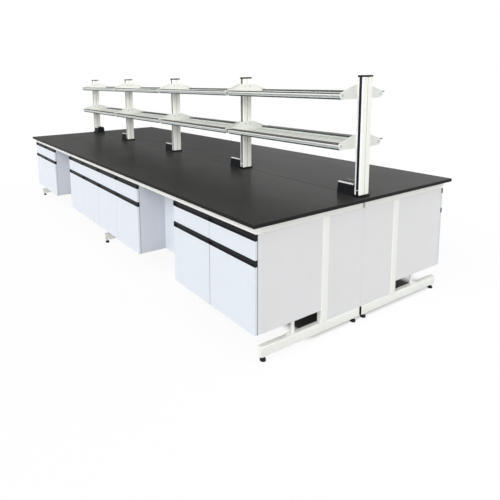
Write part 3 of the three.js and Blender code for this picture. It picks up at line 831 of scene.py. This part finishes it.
@dataclass
class Column:
    """One column of a cabinet: a drawer over a door, hinged on its outer side.

    Its outer side and its painted-shade gap edge are -1 for the left and 1 for the right, or 0 for
    none.
    """

    left: float
    outer: int
    row: Row
    number: int
    shaded_gap_side: int = 0
    gap: float = 2.0
    runner: float = 6.0
    slide: float = 0.3
    wall: float = 12.0
    box_bottom: float = 635.0
    box_top: float = 733.0
    box_back: float = -449.0
    box_floor: Span = (641.0, 647.0)
    runner_middle: float = 684.0
    hinges: Span = (275.0, 492.0)
    hinge_gap: float = 6.3
    hinge_half: float = 8.0
    cup_inset: float = 38.0
    screw_shifts: Span = (-22.0, 22.0)
    cap: float = 2.2
    pull_step: float = 2.0
    scoop_middle: float = 14.5
    scoop_radius: float = 9.0
    scoop_stretch: float = 1.12
    gap_shade_out: float = 0.7
    gap_shade_in: float = 0.5

    @property
    def span(self) -> Span:
        """Left and right edges of the fronts."""
        return self.left + self.gap, self.left + L.column - self.gap

    @property
    def opening(self) -> Span:
        """Inner faces on both sides of the drawer."""
        thick = (L.board, L.board / 2) if self.outer < 0 else (L.board / 2, L.board)
        return self.left + thick[0], self.left + L.column - thick[1]

    @property
    def edge(self) -> float:
        """Outer edge of the column."""
        return self.left if self.outer < 0 else self.left + L.column

    def pull(self, bottom: float) -> Shell:
        """Pull profile along the front: a scooped channel under a hooked lip, closed by end caps.

        Args:
            bottom: height of its lower edge.

        Returns:
            The profile's shell.
        """
        front, back, top = L.front_face, L.front_back, bottom + L.pull_height
        face = front - self.pull_step
        hook = np.array([
            [back, bottom], [back, top], [face + 1.5, top], [face + 0.4, top - 0.5],
            [face, top - 1.6], [face, top - 8.2], [face + 0.8, top - 9], [face + 2.4, top - 9],
            [face + 3, top - 8.2],
        ])
        scoop = arc(face + 5.0, 0.0, self.scoop_radius, 80, -80, 12) * (1.0, self.scoop_stretch)
        scoop += (0.0, bottom + self.scoop_middle)
        sill = np.array([[front, bottom + 4.0], [front, bottom]])
        closed = np.vstack([hook[:5], [[face, bottom + 1.5], [front, bottom]]])
        left, right = self.span
        section = np.vstack([hook, scoop, sill])
        shell = Shell().sweep(section, Axis.X, left + self.cap, right - self.cap)
        shell.sweep(closed, Axis.X, left, left + self.cap)
        return shell.sweep(closed, Axis.X, right - self.cap, right)

    def runners(self, fixed: bool) -> Shell:
        """Channel-section runner halves along both walls of the drawer.

        Args:
            fixed: true for the halves on the cabinet, false for those on the drawer.

        Returns:
            The two halves.
        """
        shell, deep = Shell(), self.runner
        channel = np.array([[0, -14], [deep, -14], [deep, -11], [1.6, -11],
                            [1.6, 11], [deep, 11], [deep, 14], [0, 14]])
        ends = (L.case_front if fixed else L.front_back, self.box_back)
        for wall, inward in zip(self.opening, (1, -1)):
            start = wall if fixed else wall + inward * (2 * self.runner + self.slide)
            shift = inward if fixed else -inward
            shell.sweep(channel * (shift, 1) + (start, self.runner_middle), Axis.Y, *ends)
        return shell

    def hinge_arms(self) -> Shell:
        """Cranked arms on the side board, each an outline seen from above carried up its width.

        Returns:
            The two arms.
        """
        wall, tip = self.edge - self.outer * L.board, L.front_back + self.hinge_gap
        crank = np.array([[0, 14], [4, 1.2], [5.5, 0], [19, 0], [20, 1],
                          [20, 7], [11, 14], [11, 53], [9, 55], [0, 55]])
        outline = crank * (-self.outer, 1) + (wall, tip)
        shell = Shell()
        for z in self.hinges:
            shell.sweep(outline, Axis.Z, z - self.hinge_half, z + self.hinge_half)
        return shell

    def cups(self) -> tuple[Shell, Shell]:
        """Hinge cups on the door's back, with the wings that carry their screws.

        Returns:
            The cups with wings, and the screw heads.
        """
        x, back = self.edge - self.outer * self.cup_inset, L.front_back
        cups, screws = Shell(), Shell()
        ring = [(16, back - 0.5), (16, back + 6), (13.6, back + 6), (13, back + 1), (4, back + 0.6)]
        head = [(3.6, back + 1.3), (3.6, back + 2.2), (2.4, back + 3.0), (0.8, back + 3.1)]
        for z in self.hinges:
            cups.turn(ring, Axis.Y, (x, z))
            cups.boxes(((x - 6.5, x + 6.5), (back, back + 1.4), (z - 27, z + 27)))
            for shift in self.screw_shifts:
                screws.turn(head, Axis.Y, (x, z + shift), 14)
        return cups, screws

    def box(self) -> Shell:
        """Drawer walls, back and floor as butted boards.

        Returns:
            The boards.
        """
        beside = 2 * self.runner + self.slide
        left, right = self.opening[0] + beside, self.opening[1] - beside
        t, height, back = self.wall, (self.box_bottom, self.box_top), self.box_back
        inner = (left + t, right - t)
        return Shell().boxes(
            ((left, left + t), (L.front_back, back), height),
            ((right - t, right), (L.front_back, back), height),
            (inner, (back - t, back), height),
            (inner, (L.front_back, back - t), self.box_floor),
        )

    def front(self, maker: Maker, bottom: float, pull: float) -> None:
        """Makes the panel of a drawer or door and the pull along its top.

        Args:
            maker: maker of the drawer's or door's pieces.
            bottom: height of the panel's lower edge.
            pull: height where the panel ends and the pull begins.
        """
        panel = Shell().boxes((self.span, (L.front_face, L.front_back), (bottom, pull)))
        maker.piece("panel", panel, FRONT_LAMINATE, Slot.FRONT, edge=0.9, stands_for=maker.name)
        maker.piece("pull", self.pull(pull), PULL_BLACK, Slot.SOCKET, edge=0.3)

    def gap_shade_strip(self) -> Shell:
        """Thin dark strip along the door's edge: painted shade in the gap between doors.

        Returns:
            The strip.
        """
        edge, inset = self.span[self.shaded_gap_side > 0], 1.0
        strip = ordered(edge + self.shaded_gap_side * self.gap_shade_out, edge - self.shaded_gap_side * self.gap_shade_in)
        depth = (L.front_face + 1.2, L.front_back - inset)
        return Shell().boxes((strip, depth, (L.cabinet_bottom + inset, L.door_pull - inset)))

    def build(self) -> None:
        """Makes the pieces of the drawer and of the door."""
        names = [f"{kind}_{self.row.name.lower()}_{self.number}" for kind in ("drawer", "door")]
        drawer, door = (Maker(name, self.row, name) for name in names)
        self.front(drawer, L.drawer_bottom, L.drawer_pull)
        drawer.piece("box", self.box(), INNER_LAMINATE, Slot.FRONT, edge=0.8)
        drawer.piece("runners", self.runners(False), ZINC, Slot.STEEL)
        self.front(door, L.cabinet_bottom, L.door_pull)
        # Dark strip in the gap beside the door: painted shade.
        if self.shaded_gap_side:
            door.piece("edge_gap_shade", self.gap_shade_strip(), GAP_SHADE_GREY, Slot.SOCKET)
        cups, screws = self.cups()
        door.piece("hinge_cups", cups, NICKEL, Slot.STEEL)
        door.piece("hinge_screws", screws, ZINC, Slot.STEEL)


@dataclass
class Cabinet:
    """Cases of boards that stand side by side under one node, each with two columns.

    The sides that face a knee space are -1 for the left end and 1 for the right one; their boards
    take a darker, cooler laminate as painted shade.
    """

    lefts: tuple[float, ...]
    numbers: tuple[int, ...]
    row: Row
    name: str
    knees: tuple[int, ...]
    back_board: float = 8.0
    stretcher: float = 80.0
    gap_shade_inset: float = 0.6
    gap_shade_depth: Span = (-891.7, -889.0)
    gap_shade_top: float = 775.0

    def boards(self, left: float) -> list[Limits]:
        """Butted boards of one case.

        Args:
            left: its left face.

        Returns:
            Limits of each board.
        """
        t, right, middle = L.board, left + L.cabinet_width, left + L.column
        depth, height = (L.case_front, L.case_back), (L.cabinet_bottom, L.arm_bottom)
        inner, inner_back = (left + t, right - t), L.case_back - self.back_board
        inside, head = (L.case_front, inner_back), (L.arm_bottom - t, L.arm_bottom)
        return [
            ((left, left + t), depth, height),
            ((right - t, right), depth, height),
            (inner, (inner_back, L.case_back), height),
            (inner, inside, (L.cabinet_bottom, L.cabinet_bottom + t)),
            (inner, inside, (L.drawer_bottom - t, L.drawer_bottom)),
            (inner, (L.case_front, L.case_front + self.stretcher), head),
            (inner, (inner_back - self.stretcher, inner_back), head),
            ((middle - t / 2, middle + t / 2), inside, (L.drawer_bottom, L.arm_bottom - t)),
        ]

    def gap_shades(self, left: float) -> list[Limits]:
        """Dark strips on the front edges of a case's two sides: painted shade in the gaps beside the
        doors.

        Args:
            left: the case's left face.

        Returns:
            Limits of each strip.
        """
        inset, height = self.gap_shade_inset, (L.cabinet_bottom + self.gap_shade_inset, self.gap_shade_top)
        sides = (left, left + L.cabinet_width - L.board)
        return [((x + inset, x + L.board - inset), self.gap_shade_depth, height) for x in sides]

    def columns(self) -> list[Column]:
        """Two columns for each case, with a strip of painted shade where the doors of one case or of
        a pair meet.

        Returns:
            The columns, case by case.
        """
        shaded_gap_side = (1, -1) if len(self.lefts) == 1 else (0, 1, -1, 0)
        lefts = [left + shift for left in self.lefts for shift in (0.0, L.column)]
        return [Column(left, (-1, 1)[index % 2], self.row, number, edge)
                for index, (left, number, edge) in enumerate(zip(lefts, self.numbers, shaded_gap_side))]

    def build(self) -> None:
        """Makes the case, its fixed runners and hinge arms, then its columns."""
        case, sides, gap_shades, runners, arms = (Shell() for _ in range(5))
        for left in self.lefts:
            first, second, *inner = self.boards(left)
            # Boards facing a knee space take the darker laminate, which is painted shade.
            (sides if -1 in self.knees and left == self.lefts[0] else case).boxes(first)
            (sides if 1 in self.knees and left == self.lefts[-1] else case).boxes(second)
            case.boxes(*inner)
            gap_shades.boxes(*self.gap_shades(left))
        columns = self.columns()
        for column in columns:
            runners.join(column.runners(True))
            arms.join(column.hinge_arms())
        maker = Maker(self.name, self.row)
        maker.piece("case", case, CASE_LAMINATE, Slot.CASE, edge=0.7, stands_for=self.name)
        maker.piece("shaded_knee_sides", sides, SHADED_KNEE_LAMINATE, Slot.CASE, edge=0.7)
        # Dark strips on the case's front edges: painted shade in the door gaps.
        maker.piece("front_gap_shades", gap_shades, GAP_SHADE_GREY, Slot.SOCKET)
        maker.piece("runners", runners, ZINC, Slot.STEEL)
        maker.piece("hinge_arms", arms, NICKEL, Slot.STEEL, edge=0.5)
        for column in columns:
            column.build()


@dataclass
class RackPost:
    """Extruded post with slot strips, groove inlays, a base skirt and a cap."""

    x: float
    number: int
    bottom: float = 864.0
    top: float = 1614.0
    cap_top: float = 1626.0
    joint: Span = (890.0, 894.0)
    half_depth: float = 44.0
    corner: float = 4.0
    groove_floor: float = 18.0
    groove: float = 2.6
    mouth: float = 10.5
    slot: float = 13.0
    slot_lip: float = 41.0
    slot_floor: float = 35.0
    skirt: Span = (52.0, 104.0)
    cap: Span = (46.0, 93.0)
    end_corner: float = 5.0

    def outline(self) -> np.ndarray:
        """Post's section: rounded corners, an undercut slot front and back, a groove each side.

        Returns:
            Outline in X and Y.
        """
        w, d, r, g = L.post_half, self.half_depth, self.corner, self.groove
        mouth, slot, lip, floor = self.mouth, self.slot, self.slot_lip, self.slot_floor
        undercut = np.array([[mouth, d], [mouth, lip], [slot, lip], [slot, floor]])
        half = np.vstack([
            [[self.groove_floor, -g], [self.groove_floor, g], [w, g]],
            arc(w - r, d - r, r, 0, 90),
            undercut, undercut[::-1] * (-1, 1),
            arc(r - w, d - r, r, 90, 180),
            [[-w, g]],
        ])
        return np.vstack([half, -half]) + (self.x, 0.0)

    def build(self) -> None:
        """Makes the post's pieces."""
        name = f"rack_post_{self.number}"
        maker = Maker(name)
        body = Shell().sweep(self.outline(), Axis.Z, self.bottom, self.top)
        maker.piece("profile", body, POST_COAT, Slot.POST, stands_for=name)
        strips, inlays, joints, play = Shell(), Shell(), Shell(), 0.2
        across = (self.x - self.mouth + play, self.x + self.mouth - play)
        for side in (-1, 1):
            depth = ordered(side * (self.slot_floor + play), side * (self.slot_lip + 0.6))
            for ends in ((self.bottom, self.joint[0]), (self.joint[1], self.top)):
                strips.boxes((across, depth, ends))
            joints.boxes((across, depth, self.joint))
            inner, outer = self.groove_floor - play, self.groove_floor + 1.4
            groove = ordered(self.x + side * inner, self.x + side * outer)
            inlays.boxes((groove, (0.1 - self.groove, self.groove - 0.1), (self.bottom, self.top)))
        maker.piece("strips", strips, STRIP_NAVY, Slot.SOCKET, edge=0.6)
        maker.piece("strip_joints", joints, POST_COAT, Slot.POST, edge=0.4)
        maker.piece("groove_inlays", inlays, GROOVE_INLAY, Slot.POST)
        skirt, cap = (rounded(*size, self.end_corner, self.x) for size in (self.skirt, self.cap))
        ends = Shell().sweep(skirt, Axis.Z, L.seat, self.bottom)
        ends.sweep(cap, Axis.Z, self.top, self.cap_top)
        maker.piece("cap_and_skirt", ends, CAP_BLACK, Slot.SOCKET, edge=1.6)


@dataclass
class Shelf:
    """Shelf of one bay: two end plates, front and back rails with trims, and a ribbed board.

    Its sections are drawn from the bench's centre line and the shelf's base.
    """

    left: float
    right: float
    base: float
    name: str
    plate: float = 4.0
    reach: float = 206.0
    tip: float = 24.0
    crown: Span = (59.0, 91.0)
    inner: float = 159.0
    wall: float = 188.0
    toe: float = 189.0
    nose: float = 23.0
    nose_radius: float = 4.0
    rail_top: float = 34.0
    lip_edges: Span = (209.0, 227.0)
    lip_radius: float = 3.2
    flange: Span = (1.2, 5.0)
    board: Span = (12.0, 20.0)
    rib: float = 2.0
    rib_pitch: float = 50.0
    inlay_half: float = 5.0

    @property
    def between(self) -> Span:
        """Inner faces of the two end plates."""
        return self.left + self.plate, self.right - self.plate

    def plate_outline(self) -> np.ndarray:
        """End plate seen along the bench: flat crown, straight slopes, rounded tips.

        Returns:
            Outline in Y and Z.
        """
        tip = arc(self.reach - self.tip, self.tip, self.tip, -90, 90, 10)
        half = np.vstack([tip, [self.crown]])
        return np.vstack([half, half[::-1] * (-1, 1)]) + (0.0, self.base)

    def rail_outlines(self, side: int) -> list[np.ndarray]:
        """Hollowed rail, bright nose, dark guard lip, which is longer at the back, and toe trim.

        Args:
            side: -1 for the front and 1 for the back.

        Returns:
            The four outlines in Y and Z.
        """
        inner, wall, toe, nose, top = self.inner, self.wall, self.toe, self.nose, self.rail_top
        inside, low, edge = inner - self.flange[0], top - self.flange[1], self.lip_edges[side > 0]
        hollow = arc(202.0, 15.0, 16.0, 208, 152, 8)
        bead = arc(206.5, nose + self.nose_radius, self.nose_radius, -90, 0, 6)
        bulge = arc(edge + 0.6, top + self.lip_radius, self.lip_radius, -90, 90, 8)
        outlines = (
            ([[inner, 0], [toe, 0], [toe, 7.5]], hollow, [[wall, nose], [wall, top], [inner, top]]),
            ([[wall, top], [wall, nose]], bead, [[bead[-1, 0], top]]),
            ([[inside, low], [inner, low], [inner, top], [edge, top]],
             bulge, [[inside, bulge[-1, 1]]]),
            ([[toe + 0.2, 0], [195, 0], [196, 1], [196, 7.2], [195, 8.2], [toe + 0.2, 8.2]],),
        )
        return [np.vstack(points) * (side, 1) + (0.0, self.base) for points in outlines]

    def board_outline(self) -> np.ndarray:
        """Board section: a flat underside and a top raised into low ribs.

        Returns:
            Outline in Y and Z.
        """
        (low, top), side = self.board, self.inner
        middle = self.rib_pitch * np.arange(2.5, -3.0, -1.0)[:, None]
        across = middle + (3.0, 1.6, -1.6, -3.0)
        height = np.broadcast_to(top + self.rib * np.array([0, 1, 1, 0]), across.shape)
        ribs = np.stack([across, height], -1).reshape(-1, 2)
        flat = [[-side, low], [side, low], [side, top]]
        return np.vstack([flat, ribs, [[-side, top]]]) + (0.0, self.base)

    def bosses(self) -> Shell:
        """Turned rings: fixings near the posts and ports on the outer tips.

        Returns:
            The rings.
        """
        shell, (left, right) = Shell(), self.between
        fixing = np.array([(6.5, 0), (6.5, 1.6), (5.6, 2.2), (2.6, 2.2), (2.2, 0.9), (0.6, 0.8)])
        port = np.array([(9.0, -0.5), (9.0, 1), (8.2, 1.8), (6.0, 1.8), (5.4, 0.3), (0.8, 0.2)])
        tip = self.reach - self.tip
        for ring, faces, reach, height, steps in (
            (fixing, ((left, 1), (right, -1)), 24.0, 70.0, 18),
            (port, ((self.left, -1), (self.right, 1)), tip, self.tip, 24),
        ):
            for face, out in faces:
                for y in (-reach, reach):
                    profile = ring * (1, out) + (0.0, face)
                    shell.turn(profile, Axis.X, (y, self.base + height), steps)
        return shell

    def build(self) -> None:
        """Makes the shelf's pieces."""
        maker, ends, plates, inlays = Maker(self.name), self.between, Shell(), Shell()
        plates.sweep(self.plate_outline(), Axis.X, self.left, ends[0])
        plates.sweep(self.plate_outline(), Axis.X, ends[1], self.right)
        maker.piece("plates", plates, PLATE_COAT, Slot.SHELF, edge=0.6, stands_for=self.name)
        parts = ("rails", "beads", "lips", "toe_trims")
        finishes = (RAIL_METAL, RAIL_BEAD, RAIL_TRIM, RAIL_FOOT)
        pairs = zip(self.rail_outlines(-1), self.rail_outlines(1))
        for part, finish, (front, back) in zip(parts, finishes, pairs):
            both = Shell().sweep(front, Axis.X, *ends).sweep(back, Axis.X, *ends)
            maker.piece(part, both, finish, Slot.SHELF)
        board = Shell().sweep(self.board_outline(), Axis.X, *ends)
        maker.piece("board", board, BOARD_METAL, Slot.SHELF)
        top = self.base + self.board[1]
        for y in self.rib_pitch * np.arange(-2, 3):
            across = (y - self.inlay_half, y + self.inlay_half)
            inlays.boxes((ends, across, (top - 1.0, top + 0.5)))
        maker.piece("board_inlays", inlays, BOARD_INLAY, Slot.SHELF)
        maker.piece("bosses", self.bosses(), ZINC, Slot.SHELF)


@dataclass
class SocketBox:
    """Black box beside a post with outlet plates front and back, and bright strips on its top edges
    that are painted highlights.
    """

    start: float
    side: int
    number: int
    length: float = 124.0
    half: float = 55.0
    taper: float = 8.0
    top: float = 932.0
    bevel: float = 6.0
    outlet: Span = (863.0, 912.0)
    outlet_shifts: Span = (-29.0, 29.0)
    outlet_half: float = 25.0
    outlet_depth: Span = (-2.0, 0.8)

    def face(self, height: float) -> float:
        """Distance of the leaning front from the centre line at a height."""
        return self.half - self.taper * (height - L.top) / (self.top - self.bevel - L.top)

    def build(self) -> None:
        """Makes the box, its bright strips of painted highlight on the top edges, and its outlet
        plates.
        """
        name, top = f"socket_box_{self.number}", self.top
        maker = Maker(name)
        left, right = ordered(self.start, self.start + self.side * self.length)
        shoulder, ridge = self.face(top - self.bevel), self.half - self.taper - self.bevel
        half = np.array([[self.half, L.seat], [self.half, L.top],
                         [shoulder, top - self.bevel], [ridge, top]])
        body = Shell().sweep(np.vstack([half, half[::-1] * (-1, 1)]), Axis.X, left, right)
        maker.piece("body", body, SOCKET_BLACK, Slot.SOCKET, edge=1.2, stands_for=name)
        edges, plates, middle = Shell(), Shell(), (left + right) / 2
        # Bright strip along each top edge: painted highlight.
        strip = np.array([[shoulder + 0.5, top - 7.5], [shoulder + 0.3, top - 5.6],
                          [ridge + 0.3, top + 0.3], [ridge - 2.0, top + 0.3],
                          [ridge - 2.0, top - 1.0]])
        (low, high), (inner, outer) = self.outlet, self.outlet_depth
        leaf = np.array([[self.face(low) + inner, low], [self.face(low) + outer, low],
                         [self.face(high) + outer, high], [self.face(high) + inner, high]])
        for side in (-1, 1):
            edges.sweep(strip * (side, 1), Axis.X, left + 1.0, right - 1.0)
            for shift in self.outlet_shifts:
                ends = (middle + shift - self.outlet_half, middle + shift + self.outlet_half)
                plates.sweep(leaf * (side, 1), Axis.X, *ends)
        # The edges piece is the painted highlight.
        maker.piece("edges", edges, SOCKET_HIGHLIGHT_STRIP, Slot.SOCKET)
        maker.piece("outlet_plates", plates, CAP_BLACK, Slot.SOCKET, edge=0.8)


@dataclass
class Studio:
    """Floor, surrounding light, lamps and the camera, in metres."""

    position: Triple = (4.2224, -2.4909, 1.6374)
    right: Triple = (0.51880114, 0.85461139, -0.02201717)
    up: Triple = (-0.11278849, 0.09395317, 0.9891671)
    back: Triple = (0.84742205, -0.51069774, 0.14513334)
    lens: float = 33.1071
    sensor: float = 36.0
    shift: Span = (0.138247, -0.210539)
    sight: float = 200.0
    sky: float = 0.38
    sky_tint: Triple = (0.97, 0.98, 1.0)
    floor_reach: float = 40.0
    floor_tone: float = 0.35
    # Tone and extent of the painted shadow under the closed ends of the bench.
    painted_shadow_tone: float = 0.12
    shade_front: Span = (-0.5, -0.41)
    shade_back: Span = (0.77, 0.94)
    shade_inner: Span = (1.5, 2.05)
    shade_outer: Span = (2.3, 2.36)
    glow_rise: Span = (2.6, 5.5)
    glow_near: float = 0.92
    glow_gain: float = 0.08
    window_size: Span = (10.0, 2.4)
    window_place: Triple = (-1.6, 7.0, 2.2)
    window_strength: float = 84.0

    def camera(self) -> None:
        """Sets the camera by its axes and place."""
        data = bpy.data.cameras.new("view")
        data.sensor_width = self.sensor
        data.lens = self.lens
        data.shift_x, data.shift_y = self.shift
        data.clip_end = self.sight
        made = bpy.data.objects.new("view", data)
        axes = Matrix(np.column_stack([self.right, self.up, self.back]).tolist())
        made.matrix_world = Matrix.Translation(Vector(self.position)) @ axes.to_4x4()
        bpy.context.scene.collection.objects.link(made)
        bpy.context.scene.camera = made

    def world(self) -> None:
        """Even pale light, white where it is seen."""
        world = bpy.data.worlds.new("studio")
        world.use_nodes = True
        graph = Graph(world.node_tree)
        light = graph.node("ShaderNodeBackground", {}, {0: (*self.sky_tint, 1.0), 1: self.sky})
        white = graph.node("ShaderNodeBackground", {}, {0: (1.0, 1.0, 1.0, 1.0)})
        graph.node("ShaderNodeOutputWorld", {}, {0: graph.blend(graph.seen(), light, white)})
        bpy.context.scene.world = world

    def floor(self) -> None:
        """Wide pale floor that keeps a soft shadow, deepened under the closed ends of the bench by a
        painted shadow of darker floor tone.
        """
        mesh = bpy.data.meshes.new("floor")
        corners = np.array([[-1, -1, 0], [1, -1, 0], [1, 1, 0], [-1, 1, 0]]) * self.floor_reach
        mesh.from_pydata(corners.tolist(), [], [(0, 1, 2, 3)])
        material = bpy.data.materials.new("floor")
        material.use_nodes = True
        graph = Graph(material.node_tree)
        along, across = abs(graph.along(Axis.X)), graph.along(Axis.Y)
        # Mask of the painted shadow: a darker floor tone with no glow, laid over the real shadow
        # under the closed ends.
        inside = across.ramp(*self.shade_front) * (1.0 - across.ramp(*self.shade_back))
        under = along.ramp(*self.shade_inner) * (1.0 - along.ramp(*self.shade_outer)) * inside
        length = {"operation": "LENGTH"}
        away = graph.node("ShaderNodeVectorMath", length, {0: graph.place()}, "Value")
        white, grey, dark = (graph.node("ShaderNodeBsdfDiffuse", {}, {0: (tone, tone, tone, 1.0)})
                             for tone in (1.0, self.floor_tone, self.painted_shadow_tone))
        ground = graph.blend(under, graph.blend(graph.seen(), grey, white), dark)
        glow = graph.node("ShaderNodeEmission", {}, {})
        level = away.ramp(*self.glow_rise) * self.glow_gain + self.glow_near
        share = graph.seen() * level * (1.0 - under)
        graph.node("ShaderNodeOutputMaterial", {}, {0: graph.blend(share, ground, glow)})
        mesh.materials.append(material)
        made = bpy.data.objects.new("floor", mesh)
        bpy.context.scene.collection.objects.link(made)

    def lamp(self, data: bpy.types.Light, strength: float, towards: Triple) -> bpy.types.Object:
        """Places one lamp.

        Args:
            data: the lamp.
            strength: its energy.
            towards: direction of its light.

        Returns:
            The lamp's object, at the origin.
        """
        data.energy = strength
        made = bpy.data.objects.new(data.name, data)
        made.rotation_mode = "QUATERNION"
        made.rotation_quaternion = Vector(towards).to_track_quat("-Z", "Y")
        bpy.context.scene.collection.objects.link(made)
        return made

    def lamps(self) -> None:
        """Broad key from the front, fills from end and back, and a wide window for the sheen."""
        for name, strength, spread, towards in (
            ("key", 2.1, 55, (-0.12, 0.84, -0.53)),
            ("end_fill", 0.12, 55, (-0.85, 0.1, -0.52)),
            ("low_fill", 1.8, 40, (-0.92, 0.38, -0.08)),
            ("back_fill", 0.9, 55, (-0.25, -0.87, -0.4)),
        ):
            data = bpy.data.lights.new(name, "SUN")
            data.angle = math.radians(spread)
            self.lamp(data, strength, towards)
        data = bpy.data.lights.new("window", "AREA")
        data.shape = "RECTANGLE"
        data.size, data.size_y = self.window_size
        window = self.lamp(data, self.window_strength, (0.1, -1.0, -0.1))
        window.location = self.window_place
        window.visible_camera = False

    def build(self) -> None:
        """Sets up the stage."""
        bpy.context.scene.view_settings.view_transform = "Standard"
        self.camera()
        self.world()
        self.floor()
        self.lamps()


def main() -> None:
    """Builds the studio, then each sub-assembly of the bench in order."""
    logging.basicConfig(level=logging.INFO, format="%(name)s %(message)s")
    Studio().build()
    for side in Row:
        row = side.name.lower()
        coat_node(f"worktop_{row}", WORKTOP_RESIN)
        coat_node(f"apron_beam_{row}", BEAM_COAT)
        for where, sign in (("left", -1), ("middle", 0), ("right", 1)):
            end = sign * side.value
            middle = (-1, 1) if side is Row.FRONT else ()
            brackets = (-end,) if end else middle
            Frame(end * L.frame_middle, side, f"frame_{row}_{where}", brackets, end).build()
    for node in ("knee_panel_front_left", "knee_panel_front_right", "knee_panel_back"):
        coat_node(node, FRONT_LAMINATE)
    low, high, pair = -L.end_face, L.end_face - L.cabinet_width, (-L.cabinet_width, 0.0)
    for lefts, numbers, side, where, knees in (
        ((low,), (1, 2), Row.FRONT, "left", (1,)),
        (pair, (3, 4, 5, 6), Row.FRONT, "middle", (-1, 1)),
        ((high,), (7, 8), Row.FRONT, "right", (-1,)),
        ((high,), (2, 1), Row.BACK, "left", (-1,)),
        ((low,), (8, 7), Row.BACK, "right", (1,)),
    ):
        name = f"cabinet_{side.name.lower()}_{where}"
        Cabinet(lefts, numbers, side, name, knees).build()
    posts = np.linspace(-L.post_middle, L.post_middle, 5).tolist()
    for number, x in enumerate(posts, 1):
        RackPost(x, number).build()
        beside = 1 if number == 1 else -1
        SocketBox(x + beside * L.skirt_half, beside, number).build()
    for tier, base in zip(("lower", "upper"), L.shelf_bases):
        for bay, (left, right) in enumerate(zip(posts, posts[1:]), 1):
            Shelf(left + L.post_half, right - L.post_half, base, f"shelf_{tier}_{bay}").build()


if __name__ == "__main__":
    main()
